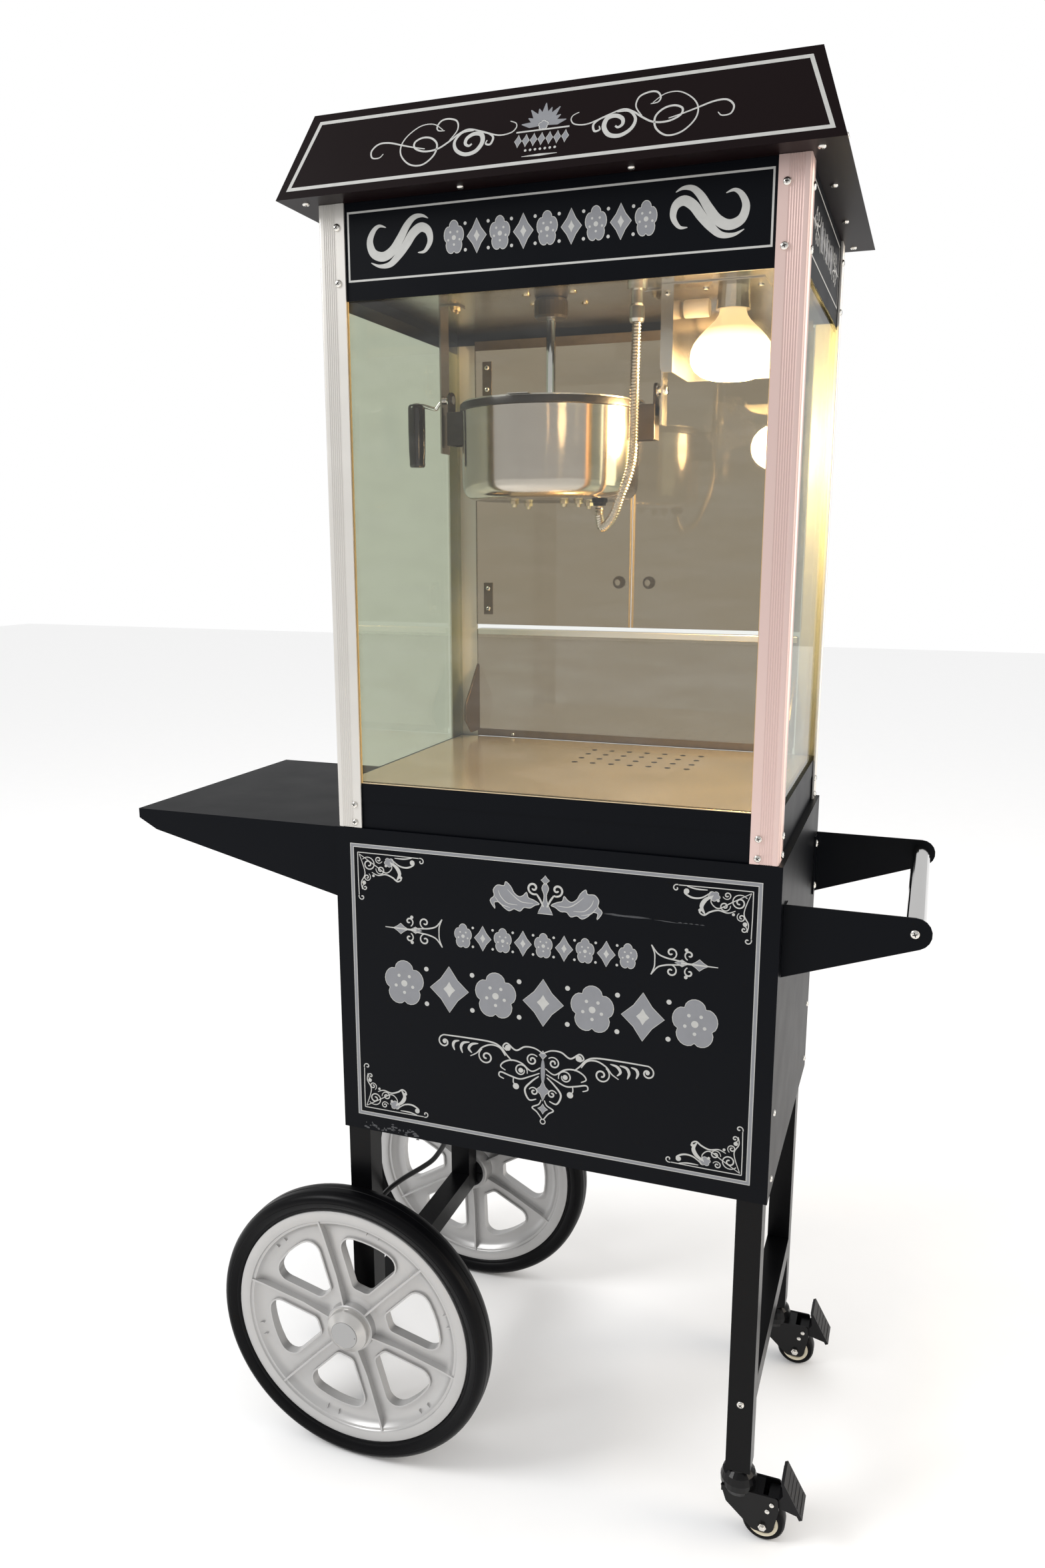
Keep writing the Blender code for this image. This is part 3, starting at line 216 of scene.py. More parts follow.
def lathe(profile, steps=64):
    """Turn a closed profile of (radius, height) about Z."""
    mesh = bmesh.new()
    rings = []
    for radius, height in profile:
        if radius <= 0:
            rings.append([mesh.verts.new((0, 0, height))])
            continue
        rings.append([mesh.verts.new((radius * math.cos(math.tau * i / steps),
                                      radius * math.sin(math.tau * i / steps), height))
                      for i in range(steps)])
    for here, there in zip(rings, rings[1:] + rings[:1]):
        if len(here) == 1 and len(there) == 1:
            continue
        for i in range(steps):
            j = (i + 1) % steps
            if len(here) == 1:
                mesh.faces.new((here[0], there[i], there[j]))
            elif len(there) == 1:
                mesh.faces.new((here[i], there[0], here[j]))
            else:
                mesh.faces.new((here[i], there[i], there[j], here[j]))
    bmesh.ops.recalc_face_normals(mesh, faces=mesh.faces)
    return mesh


def both_faces(profile):
    """A profile closed by its own mirror image below z = 0."""
    return profile + [(r, -h) for r, h in reversed(profile)]


def circle(radius, sides):
    return [(radius * math.cos(math.tau * k / sides), radius * math.sin(math.tau * k / sides))
            for k in range(sides)]


def half_circle(radius, steps):
    """The rear half of a circle, ended a millimetre behind its middle."""
    angles = [math.pi * k / steps for k in range(steps + 1)]
    return [(radius * math.cos(a), max(radius * math.sin(a), 0.001)) for a in angles]


def rounded(corners, steps=4):
    """An outline with filleted corners, from (a, b, radius) corners."""
    points = []
    count = len(corners)
    for i, (a, b, radius) in enumerate(corners):
        here = Vector((a, b))
        if radius <= 0:
            points.append((a, b))
            continue
        before = (Vector(corners[i - 1][:2]) - here).normalized()
        after = (Vector(corners[(i + 1) % count][:2]) - here).normalized()
        half = before.angle(after) / 2
        reach = radius / math.tan(half)
        middle = here + (before + after).normalized() * (radius / math.sin(half))
        first, last = here + before * reach - middle, here + after * reach - middle
        sweep = first.angle_signed(last)
        for k in range(steps + 1):
            point = middle + Matrix.Rotation(-sweep * k / steps, 2) @ first
            points.append((point.x, point.y))
    return points


def facing(centre, normal, up=(0, 0, 1)):
    """A matrix that takes +Z to a normal and the origin to a point."""
    z = Vector(normal).normalized()
    up = Vector(up) if abs(z.dot(Vector(up))) < 0.99 else Vector((0, 1, 0))
    x = up.cross(z).normalized()
    y = z.cross(x)
    turn = Matrix((x, y, z)).transposed().to_4x4()
    return Matrix.Translation(centre) @ turn


def smooth_path(points, spacing):
    """Points at an even spacing along a smooth curve through the route's own points."""
    route = [Vector(p) for p in points]
    fine = []
    for i in range(len(route) - 1):
        p0, p1 = route[max(i - 1, 0)], route[i]
        p2, p3 = route[i + 1], route[min(i + 2, len(route) - 1)]
        for k in range(24):
            t = k / 24
            fine.append(0.5 * ((2 * p1) + (p2 - p0) * t + (2 * p0 - 5 * p1 + 4 * p2 - p3) * t ** 2
                               + (3 * p1 - p0 - 3 * p2 + p3) * t ** 3))
    fine.append(route[-1])
    total = sum((b - a).length for a, b in zip(fine, fine[1:]))
    count = max(2, round(total / spacing))
    result, travelled, index = [fine[0]], 0.0, 0
    for target in (total * i / count for i in range(1, count)):
        while travelled + (fine[index + 1] - fine[index]).length < target:
            travelled += (fine[index + 1] - fine[index]).length
            index += 1
        step = fine[index + 1] - fine[index]
        result.append(fine[index] + step * ((target - travelled) / step.length))
    result.append(fine[-1])
    return result


def sweep(path, radius_at, sides=16):
    """A closed tube along a path, with a radius that may change along it."""
    mesh = bmesh.new()
    tangent = (path[1] - path[0]).normalized()
    side = tangent.orthogonal().normalized()
    rings = []
    for i, point in enumerate(path):
        ahead = (path[min(i + 1, len(path) - 1)] - path[max(i - 1, 0)]).normalized()
        side = (side - ahead * side.dot(ahead)).normalized()
        other = ahead.cross(side)
        radius = radius_at(i)
        rings.append([mesh.verts.new(point + (side * math.cos(math.tau * k / sides)
                                              + other * math.sin(math.tau * k / sides)) * radius)
                      for k in range(sides)])
    for here, there in zip(rings, rings[1:]):
        for k in range(sides):
            j = (k + 1) % sides
            mesh.faces.new((here[k], here[j], there[j], there[k]))
    mesh.faces.new(rings[0])
    mesh.faces.new(list(reversed(rings[-1])))
    bmesh.ops.recalc_face_normals(mesh, faces=mesh.faces)
    return mesh


# ---- materials -----------------------------------------------------------------------------
def surface(name, colour, roughness, metallic=0.0, specular=0.5, coat=0.0, mottle=0.12,
            mottle_scale=18.0, grain=0.02, grain_scale=900.0, stretch=(1, 1, 1), streak=0.0):
    """A Principled surface with patchy colour, uneven roughness and a fine grain."""
    material = bpy.data.materials.new(name)
    material.use_nodes = True
    nodes, links = material.node_tree.nodes, material.node_tree.links
    shader = nodes["Principled BSDF"]
    shader.inputs["Metallic"].default_value = metallic
    shader.inputs["Specular IOR Level"].default_value = specular
    shader.inputs["Coat Weight"].default_value = coat
    shader.inputs["Coat Roughness"].default_value = 0.12
    place = nodes.new("ShaderNodeTexCoord")
    patches = nodes.new("ShaderNodeTexNoise")
    patches.inputs["Scale"].default_value = mottle_scale
    patches.inputs["Detail"].default_value = 6.0
    links.new(place.outputs["Object"], patches.inputs["Vector"])
    tint = nodes.new("ShaderNodeMixRGB")
    tint.inputs["Color1"].default_value = (*[c * (1 - mottle) for c in colour], 1)
    tint.inputs["Color2"].default_value = (*[min(1.0, c * (1 + mottle)) for c in colour], 1)
    links.new(patches.outputs["Fac"], tint.inputs["Fac"])
    links.new(tint.outputs["Color"], shader.inputs["Base Color"])
    mapping = nodes.new("ShaderNodeMapping")
    mapping.inputs["Scale"].default_value = stretch
    links.new(place.outputs["Object"], mapping.inputs["Vector"])
    fine = nodes.new("ShaderNodeTexNoise")
    fine.inputs["Scale"].default_value = grain_scale
    fine.inputs["Detail"].default_value = 3.0
    links.new(mapping.outputs["Vector"], fine.inputs["Vector"])
    spread = nodes.new("ShaderNodeMapRange")
    spread.inputs["To Min"].default_value = max(0.02, roughness - 0.05 - streak)
    spread.inputs["To Max"].default_value = min(1.0, roughness + 0.05 + streak)
    links.new((fine if streak else patches).outputs["Fac"], spread.inputs["Value"])
    links.new(spread.outputs["Result"], shader.inputs["Roughness"])
    bump = nodes.new("ShaderNodeBump")
    bump.inputs["Strength"].default_value = grain
    bump.inputs["Distance"].default_value = 0.001
    links.new(fine.outputs["Fac"], bump.inputs["Height"])
    links.new(bump.outputs["Normal"], shader.inputs["Normal"])
    return material


def clear_sheet(name, tint, smear=0.05):
    """A thin clear pane: see-through and tinted, with reflections and a faint smeared film."""
    material = bpy.data.materials.new(name)
    material.use_nodes = True
    nodes, links = material.node_tree.nodes, material.node_tree.links
    shine = nodes["Principled BSDF"]
    shine.inputs["Base Color"].default_value = (0.9, 0.9, 0.9, 1)
    shine.inputs["Metallic"].default_value = 1.0
    shine.inputs["Roughness"].default_value = 0.03
    through = nodes.new("ShaderNodeBsdfTransparent")
    through.inputs["Color"].default_value = (*tint, 1)
    weight = nodes.new("ShaderNodeLayerWeight")
    weight.inputs["Blend"].default_value = 0.5
    steep = nodes.new("ShaderNodeMath")
    steep.operation = "POWER"
    steep.inputs[1].default_value = 4.0
    amount = nodes.new("ShaderNodeMath")
    amount.operation = "MULTIPLY_ADD"
    amount.inputs[1].default_value = 0.55
    place = nodes.new("ShaderNodeTexCoord")
    mapping = nodes.new("ShaderNodeMapping")
    mapping.inputs["Rotation"].default_value = (0.3, 0.5, 0.2)
    mapping.inputs["Scale"].default_value = (2.0, 2.0, 9.0)
    film = nodes.new("ShaderNodeTexNoise")
    film.inputs["Scale"].default_value = 5.0
    film.inputs["Detail"].default_value = 5.0
    spread = nodes.new("ShaderNodeMapRange")
    spread.inputs["From Min"].default_value = 0.45
    spread.inputs["From Max"].default_value = 0.80
    spread.inputs["To Min"].default_value = 0.035
    spread.inputs["To Max"].default_value = 0.035 + smear
    mix = nodes.new("ShaderNodeMixShader")
    links.new(place.outputs["Object"], mapping.inputs["Vector"])
    links.new(mapping.outputs["Vector"], film.inputs["Vector"])
    links.new(film.outputs["Fac"], spread.inputs["Value"])
    links.new(weight.outputs["Facing"], steep.inputs[0])
    links.new(steep.outputs["Value"], amount.inputs[0])
    links.new(spread.outputs["Result"], amount.inputs[2])
    links.new(amount.outputs["Value"], mix.inputs["Fac"])
    links.new(through.outputs["BSDF"], mix.inputs[1])
    links.new(shine.outputs["BSDF"], mix.inputs[2])
    links.new(mix.outputs["Shader"], nodes["Material Output"].inputs["Surface"])
    return material


def lit(name, colour, strength):
    """Frosted glass with the lamp burning behind it, dimmer towards its neck."""
    material = surface(name, colour, 0.35)
    nodes, links = material.node_tree.nodes, material.node_tree.links
    shader = nodes["Principled BSDF"]
    shader.inputs["Emission Color"].default_value = (*colour, 1)
    place = nodes.new("ShaderNodeTexCoord")
    split = nodes.new("ShaderNodeSeparateXYZ")
    fade = nodes.new("ShaderNodeMapRange")
    fade.inputs["From Min"].default_value = BULB_LOW[2] + 0.055
    fade.inputs["From Max"].default_value = BULB_LOW[2] + 0.030
    fade.inputs["To Min"].default_value = strength * 0.10
    fade.inputs["To Max"].default_value = strength
    links.new(place.outputs["Object"], split.inputs["Vector"])
    links.new(split.outputs["Z"], fade.inputs["Value"])
    links.new(fade.outputs["Result"], shader.inputs["Emission Strength"])
    return material


POWDER = surface("powder_coat", (0.0020, 0.0026, 0.0042), 0.40, specular=0.08, mottle=0.10, grain=0.05,
                 grain_scale=1400)
ROOF_COAT = surface("roof_coat", (0.0058, 0.0026, 0.0030), 0.40, specular=0.08, mottle=0.25,
                    mottle_scale=4, grain=0.05, grain_scale=1400)
TUBE_COAT = surface("tube_coat", (0.0022, 0.0022, 0.0027), 0.30, specular=0.12, mottle=0.15, grain=0.08,
                    grain_scale=700)
CAST_BLACK = surface("caster_black", (0.0035, 0.0035, 0.0040), 0.26, specular=0.22, grain=0.06,
                     grain_scale=500)
MOULDED_BLACK = surface("moulded_black", (0.005, 0.005, 0.006), 0.36, specular=0.18, grain=0.08,
                        grain_scale=1500)
POST_METAL = surface("post_aluminium", (0.62, 0.60, 0.565), 0.36, metallic=0.55, mottle=0.04, grain=0.0)
# The front-right post is the same aluminium, tinted rose: a painted warm reflection.
POST_WARM_REFLECTION = surface("post_painted_reflection", (0.68, 0.51, 0.47), 0.36, metallic=0.55, mottle=0.05,
                    mottle_scale=4, grain=0.0)
TRIM_METAL = surface("trim_aluminium", (0.70, 0.69, 0.67), 0.30, metallic=0.9, mottle=0.05, grain=0.0)
POLISHED = surface("polished_stainless", (0.62, 0.555, 0.50), 0.13, metallic=1.0, mottle=0.05, grain=0.0)
SHEET_STEEL = surface("sheet_stainless", (0.60, 0.57, 0.53), 0.24, metallic=1.0, mottle=0.10, grain=0.0)
FLOOR_STEEL = surface("tray_stainless", (0.86, 0.75, 0.58), 0.20, metallic=0.85, mottle=0.12,
                      mottle_scale=14, grain=0.0)
CHROME = surface("chrome_plate", (0.80, 0.79, 0.78), 0.08, metallic=1.0, mottle=0.03, grain=0.0)
SCREW_STEEL = surface("screw_zinc", (0.72, 0.70, 0.66), 0.20, metallic=1.0, mottle=0.12,
                      mottle_scale=300, grain=0.02)
# Near-black fill for screw recesses, the drain holes and a dot on the hub caps: painted shade in hollows.
RECESS_SHADE = surface("painted_recess_shade", (0.02, 0.018, 0.016), 0.5, metallic=0.6)
BRASS = surface("plated_brass", (0.62, 0.50, 0.33), 0.22, metallic=1.0, mottle=0.12, mottle_scale=200)
ARMOUR = surface("cable_armour", (0.56, 0.50, 0.42), 0.24, metallic=1.0, mottle=0.12, mottle_scale=250)
RIM_PLASTIC = surface("wheel_silver", (0.45, 0.445, 0.44), 0.36, metallic=0.50, mottle=0.06,
                      mottle_scale=30, grain=0.04, grain_scale=1600)
CAP_PLASTIC = surface("cap_silver", (0.50, 0.49, 0.475), 0.30, metallic=0.6, mottle=0.04, grain=0.02)
CAP_DISC = surface("cap_disc", (0.34, 0.34, 0.34), 0.42, metallic=0.3, mottle=0.04, grain=0.03)
RUBBER = surface("tyre_rubber", (0.0022, 0.0022, 0.0028), 0.36, specular=0.10, mottle=0.25,
                 mottle_scale=40, grain=0.04, grain_scale=500)
IVORY = surface("roller_ivory", (0.62, 0.56, 0.42), 0.45, mottle=0.12, mottle_scale=120)
CORD_SKIN = surface("cord_skin", (0.012, 0.012, 0.013), 0.42, mottle=0.1, mottle_scale=200)
INK = surface("printed_line", (0.40, 0.40, 0.385), 0.45, mottle=0.10, mottle_scale=160, grain=0.03)
INK_FILL = surface("printed_fill", (0.185, 0.190, 0.205), 0.48, mottle=0.10, mottle_scale=90, grain=0.03)
RIM_BAND = surface("kettle_band", (0.018, 0.013, 0.010), 0.32, metallic=0.2, mottle=0.5,
                   mottle_scale=120, grain=0.1, grain_scale=400)
WORN = surface("worn_patch", (0.045, 0.047, 0.052), 0.6, mottle=0.5, mottle_scale=300)
MOTOR_GREY = surface("motor_paint", (0.045, 0.036, 0.028), 0.40, metallic=0.4, mottle=0.3)
PANE = clear_sheet("pane_glass", (0.96, 0.965, 0.95), smear=0.03)
SIDE_PANE = clear_sheet("side_glass", (0.72, 0.75, 0.66), smear=0.05)
ACRYLIC = clear_sheet("door_acrylic", (0.52, 0.47, 0.39), smear=0.06)
BULB_GLASS = lit("bulb_glass", (1.0, 0.80, 0.50), 3.4)
DARK_METAL = surface("dark_bracket", (0.055, 0.048, 0.042), 0.38, metallic=0.8, mottle=0.35, mottle_scale=90)
GRIP_BLACK = surface("grip_bakelite", (0.016, 0.013, 0.012), 0.14, specular=0.6, mottle=0.2, mottle_scale=60,
                     grain=0.01)
CERAMIC = surface("holder_ceramic", (0.74, 0.66, 0.55), 0.35, mottle=0.06)
BRASS_DARK = surface("hinge_plate", (0.11, 0.085, 0.06), 0.35, metallic=0.8, mottle=0.3, mottle_scale=150)
# Pale strips on the doors' meeting edges: a painted highlight of the acrylic edges.
DOOR_EDGE_HIGHLIGHT = surface("pane_edge_painted_highlight", (0.62, 0.60, 0.54), 0.25, mottle=0.05)
SEAL = surface("pane_seal", (0.45, 0.30, 0.12), 0.45, mottle=0.2, mottle_scale=60)


def repaint(look, *names):
    """Give CAD nodes a finished material."""
    for name in names:
        for holder in NODES[name].material_slots:
            holder.material = look


# ---- camera, light and floor ---------------------------------------------------------------
def make_camera():
    data = bpy.data.cameras.new("camera")
    data.lens = 26.22
    data.sensor_width = 36.0
    data.clip_start = 0.05
    camera = bpy.data.objects.new("camera", data)
    camera.location = (0.4607, -1.3273, 1.1483)
    camera.rotation_euler = (math.pi / 2 - 0.2079, 0.0, 0.3473)
    bpy.context.scene.collection.objects.link(camera)
    bpy.context.scene.camera = camera


def area_light(name, place, target, size, power, colour=(1, 1, 1)):
    data = bpy.data.lights.new(name, "AREA")
    data.shape = "RECTANGLE"
    data.size, data.size_y = size
    data.energy = power
    data.color = colour
    lamp = bpy.data.objects.new(name, data)
    lamp.location = place
    lamp.rotation_euler = (Vector(target) - Vector(place)).to_track_quat("-Z", "Y").to_euler()
    bpy.context.scene.collection.objects.link(lamp)


def make_studio():
    """White surround, a pale floor, soft key lights and the cart's own warm lamp."""
    world = bpy.data.worlds.new("studio")
    world.use_nodes = True
    nodes, links = world.node_tree.nodes, world.node_tree.links
    background = nodes["Background"]
    background.inputs["Color"].default_value = (1.0, 1.0, 1.0, 1.0)
    ray = nodes.new("ShaderNodeLightPath")
    strength = nodes.new("ShaderNodeMapRange")
    strength.inputs["To Min"].default_value = 1.0
    strength.inputs["To Max"].default_value = 0.60
    links.new(ray.outputs["Is Glossy Ray"], strength.inputs["Value"])
    links.new(strength.outputs["Result"], background.inputs["Strength"])
    bpy.context.scene.world = world
    bpy.context.scene.view_settings.view_transform = "Standard"
    area_light("key", (-2.4, -1.8, 2.9), (0, 0, 0.8), (1.3, 1.3), 70)
    area_light("side", (3.0, 0.4, 1.5), (0, 0, 0.8), (1.4, 2.2), 40, (1.0, 0.88, 0.74))
    floor = bpy.data.meshes.new("studio_floor")
    mesh = bmesh.new()
    bmesh.ops.create_grid(mesh, x_segments=1, y_segments=1, size=12.0)
    mesh.to_mesh(floor)
    mesh.free()
    floor.materials.append(surface("studio_floor", (0.93, 0.93, 0.93), 0.8, mottle=0.01, grain=0.0))
    item = bpy.data.objects.new("studio_floor", floor)
    bpy.context.scene.collection.objects.link(item)
    data = bpy.data.lights.new("bulb_light", "POINT")
    data.energy = 15.0
    data.color = (1.0, 0.70, 0.36)
    data.shadow_soft_size = 0.03
    glow = bpy.data.objects.new("bulb_light", data)
    glow.location = (LAMP_X, LAMP_Y, BULB_LOW[2] - 0.045)
    bpy.context.scene.collection.objects.link(glow)


# ---- cords -----------------------------------------------------------------------------------
def coil_points():
    """Six turns round the coil, two side by side and three high, then off to the plug."""
    turns, per_turn = 6, 16
    start = math.atan2(CORD_ROUTE[-1][1] - COIL_CENTRE[1], CORD_ROUTE[-1][0] - COIL_CENTRE[0])
    total = math.tau * turns + (math.pi / 2 - start) - 0.10
    points = []
    count = turns * per_turn + 8
    for i in range(3, count + 1):
        turned = total * i / count
        lap = min(turned / math.tau, turns - 0.001)
        layer = int(lap // 2)
        across = lap - 2 * layer
        offset = CORD_RADIUS * (1.0 - 2.0 * min(1.0, across) if layer % 2 == 0
                                else -1.0 + 2.0 * min(1.0, across))
        rise = CORD_RADIUS * (1.05 + 2.0 * layer * 0.96)
        ease = min(1.0, i / 8)
        radius = (COIL_MIDDLE_RADIUS + offset) * ease + 0.0442 * (1 - ease)
        angle = start + turned
        points.append((COIL_CENTRE[0] + radius * math.cos(angle),
                       COIL_CENTRE[1] + radius * math.sin(angle), rise + 0.0003))
    return points


def cord_curve(name, points, radius, look, resolution=4):
    data = bpy.data.curves.new(name, "CURVE")
    data.dimensions = "3D"
    data.bevel_depth = radius
    data.bevel_resolution = resolution
    data.use_fill_caps = True
    spline = data.splines.new("POLY")
    spline.points.add(len(points) - 1)
    for target, point in zip(spline.points, points):
        target.co = (*point, 1.0)
    data.materials.append(look)
    item = bpy.data.objects.new(name, data)
    bpy.context.scene.collection.objects.link(item)
    return item


def make_supply_cord():
    coil = coil_points()
    tail = [(PLUG_TAIL[0] + 0.008, PLUG_TAIL[1] - 0.001, PLUG_TAIL[2] + 0.0005), PLUG_TAIL]
    path = smooth_path(list(CORD_ROUTE) + coil + tail, 0.004)
    cord = cord_curve("cord_line", path, CORD_RADIUS, CORD_SKIN)
    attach(cord, "cart")
    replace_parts(cord, "supply_cord", "cord_coil")
    tie = piece("cord_tie", cord_tie(), MOULDED_BLACK, "cart", bevel=0.0003)


def cord_tie():
    """A strap round the coil's turns, on the side away from the plug."""
    low, high = -CORD_RADIUS * 2.2, CORD_RADIUS * 2.2
    height = CORD_RADIUS * 6.1
    inner = rounded([(low, 0.0004, 0.002), (high, 0.0004, 0.002), (high, height, 0.002),
                     (low, height, 0.002)], 3)
    outer = rounded([(low - 0.0009, 0.0001, 0.0024), (high + 0.0009, 0.0001, 0.0024),
                     (high + 0.0009, height + 0.0010, 0.0024), (low - 0.0009, height + 0.0010, 0.0024)], 3)
    mesh = ring_prism(inner, outer, -0.004, 0.004)
    angle = math.radians(205)
    across = Vector((math.cos(angle), math.sin(angle), 0))
    centre = Vector((*COIL_CENTRE, 0)) + across * COIL_MIDDLE_RADIUS
    along = Vector((0, 0, 1)).cross(across)
    turn = Matrix((across, Vector((0, 0, 1)), -along)).transposed().to_4x4()
    return move(mesh, Matrix.Translation(centre) @ turn)


def make_kettle_cable():
    """Ribbed armoured hose running up from the kettle."""
    path = smooth_path(CABLE_ROUTE, 0.00055)
    pitch = 6
    mesh = sweep(path, lambda i: CABLE_RADIUS * (0.88 + 0.12 * math.cos(math.tau * i / pitch)), 14)
    cable = piece("kettle_hose", mesh, ARMOUR, None, smooth=60)
    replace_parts(cable, "kettle_cable")
    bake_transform(cable)


# ---- printed ornament ------------------------------------------------------------------------
class Panel:
    """A flat face to print on.  Print places are millimetres across and up the face."""

    def __init__(self, origin, right, up):
        self.origin = Vector(origin)
        self.right = Vector(right).normalized()
        self.up = Vector(up).normalized()
        self.normal = self.right.cross(self.up).normalized()
        self.mesh = bmesh.new()
        self.layers = 0

    def turned(self, u, v, turn_u, turn_v):
        """The same face, seen from another origin and mirrored, printing into the same mesh."""
        other = Panel(self.point(u, v, 0), self.right * turn_u, self.up * turn_v)
        other.normal = self.normal
        other.mesh.free()
        other.mesh = self.mesh
        other.layers = self.layers
        return other

    def point(self, u, v, height):
        return self.origin + (self.right * u + self.up * v) * MM + self.normal * height

    def ring(self, outline, height):
        return [self.mesh.verts.new(self.point(u, v, height)) for u, v in outline]

    def lift(self, slot):
        """Height of the next print: lines above fills, and each a hair off the last."""
        self.layers += 1
        return INK_HEIGHT + 0.0000015 * (self.layers % 50) + (0.0 if slot else 0.00008)

    def slab(self, inner, outer, slot, closed=True):
        """A thin printed solid: a filled outline, or the band between two outlines."""
        height = self.lift(slot)
        faces = []
        if inner is None:
            bottom, top = self.ring(outer, -INK_ROOT), self.ring(outer, height)
            faces += [self.mesh.faces.new(list(reversed(bottom))), self.mesh.faces.new(top)]
            loops = [bottom, top]
            pairs = [(bottom, top)]
        else:
            loops = [self.ring(inner, -INK_ROOT), self.ring(outer, -INK_ROOT), self.ring(outer, height),
                     self.ring(inner, height)]
            pairs = list(zip(loops, loops[1:] + loops[:1]))
        count = len(outer)
        for here, there in pairs:
            for i in range(count if closed else count - 1):
                j = (i + 1) % count
                faces.append(self.mesh.faces.new((here[i], here[j], there[j], there[i])))
        if not closed:
            faces.append(self.mesh.faces.new([loop[0] for loop in loops]))
            faces.append(self.mesh.faces.new([loop[-1] for loop in reversed(loops)]))
        for face in faces:
            face.material_index = slot

    def line(self, points, start, middle, end, slot=0):
        """A line whose width in millimetres runs from start through middle to end."""
        left, right = [], []
        count = len(points)
        for i, (u, v) in enumerate(points):
            before, after = points[max(i - 1, 0)], points[min(i + 1, count - 1)]
            along = Vector((after[0] - before[0], after[1] - before[1])).normalized()
            t = i / (count - 1)
            half = (start + (end - start) * t + (middle - (start + end) / 2) * math.sin(math.pi * t)) / 2
            left.append((u - along.y * half, v + along.x * half))
            right.append((u + along.y * half, v - along.x * half))
        self.slab(left, right, slot, closed=False)

    def shape(self, outline, edge=0.7):
        """A filled shape with a lighter outline."""
        self.slab(None, outline, 1)
        if edge:
            self.slab(widened(outline, edge / 2), widened(outline, -edge / 2), 0)

    def disc(self, u, v, radius, slot=0):
        self.slab(None, [(u + a, v + b) for a, b in circle(radius, DISC_SIDES)], slot)

    def border(self, corners, width, edge):
        """A closed line through the corners, with a lighter line along both its sides."""
        for near, far, slot in ((0, width, 1), (0, edge, 0), (width - edge, width, 0)):
            self.slab(inset(corners, far), inset(corners, near), slot)

    def show(self, name, body="cart"):
        piece(name, self.mesh, INK, body, smooth=0, extra=(INK_FILL,))



def inset(corners, distance):
    """A closed outline moved inwards by a distance."""
    result = []
    count = len(corners)
    for i, corner in enumerate(corners):
        here = Vector(corner)
        a = (here - Vector(corners[i - 1])).normalized()
        b = (Vector(corners[(i + 1) % count]) - here).normalized()
        normal_a, normal_b = Vector((-a.y, a.x)), Vector((-b.y, b.x))
        both = (normal_a + normal_b).normalized()
        moved = here + both * (distance / both.dot(normal_a))
        result.append((moved.x, moved.y))
    return result


def widened(outline, distance):
    """A closed outline moved to one side of itself, point by point."""
    count = len(outline)
    result = []
    for i, (u, v) in enumerate(outline):
        before, after = outline[i - 1], outline[(i + 1) % count]
        along = Vector((after[0] - before[0], after[1] - before[1])).normalized()
        result.append((u - along.y * distance, v + along.x * distance))
    return result


def flow(points, steps=6, closed=False):
    """A smooth curve through a few points."""
    points = [Vector(p) for p in points]
    count = len(points)
    result = []
    for i in range(count if closed else count - 1):
        if closed:
            p0, p1, p2, p3 = (points[(i + k) % count] for k in (-1, 0, 1, 2))
        else:
            p0, p1 = points[max(i - 1, 0)], points[i]
            p2, p3 = points[i + 1], points[min(i + 2, count - 1)]
        for k in range(steps):
            t = k / steps
            q = 0.5 * ((2 * p1) + (p2 - p0) * t + (2 * p0 - 5 * p1 + 4 * p2 - p3) * t ** 2
                       + (3 * p1 - p0 - 3 * p2 + p3) * t ** 3)
            result.append((q.x, q.y))
    if not closed:
        result.append(tuple(points[-1]))
    return result


def spiral(u, v, radius, start, turns, inner=0.16):
    """Points winding in towards a centre from a radius, from an angle in degrees."""
    count = max(8, round(abs(turns) * 22))
    points = []
    for i in range(count + 1):
        t = i / count
        reach = radius * (1 + (inner - 1) * t ** 0.85)
        angle = math.radians(start + 360 * turns * t)
        points.append((u + reach * math.cos(angle), v + reach * math.sin(angle)))
    return points


def mirrored(points):
    return [(-u, v) for u, v in points]


def both_sides(panel, points, start, middle, end):
    """The same line on the right and, mirrored, on the left."""
    panel.line(points, start, middle, end)
    panel.line(mirrored(points), start, middle, end)


def star(u, v, half_width, half_height, waist):
    """Outline of a four-pointed star with hollowed sides."""
    outline = []
    for k in range(4):
        a, b = math.pi / 2 * k, math.pi / 2 * (k + 0.5)
        outline.append((u + half_width * math.cos(a), v + half_height * math.sin(a)))
        outline.append((u + half_width * waist * math.cos(b), v + half_height * waist * math.sin(b)))
    return outline


def lobed(u, v, half_width, half_height, lobes=5, depth=0.22, turn=90.0):
    """Outline of a rounded flower, like a popped kernel."""
    outline = []
    for k in range(lobes * 8):
        a = math.tau * k / (lobes * 8)
        reach = 1 - depth + depth * abs(math.cos((a * lobes) / 2)) ** 0.7
        angle = a + math.radians(turn)
        outline.append((u + half_width * reach * math.cos(angle),
                        v + half_height * reach * math.sin(angle)))
    return outline


def ornament_row(panel, v, half_width, count, height):
    """A row of alternating flowers and stars, set as closely as a line of capitals."""
    pitch = 2 * half_width / count
    for i in range(count):
        u = -half_width + (i + 0.5) * pitch
        if i % 2:
            panel.shape(star(u, v, pitch * 0.42, height / 2, 0.62))
            panel.slab(None, star(u, v, pitch * 0.13, height * 0.17, 0.62), 0)
        else:
            panel.shape(lobed(u, v, pitch * 0.44, height / 2))
            for k in range(5):
                petal = math.tau * (k + 0.5) / 5 + math.pi / 2
                panel.disc(u + height * 0.20 * math.cos(petal), v + height * 0.20 * math.sin(petal),
                           height * 0.035)
            panel.disc(u, v, height * 0.07)
        if i:
            for side in (1, -1):
                panel.disc(u - pitch / 2, v + side * height * 0.38, height * 0.05)


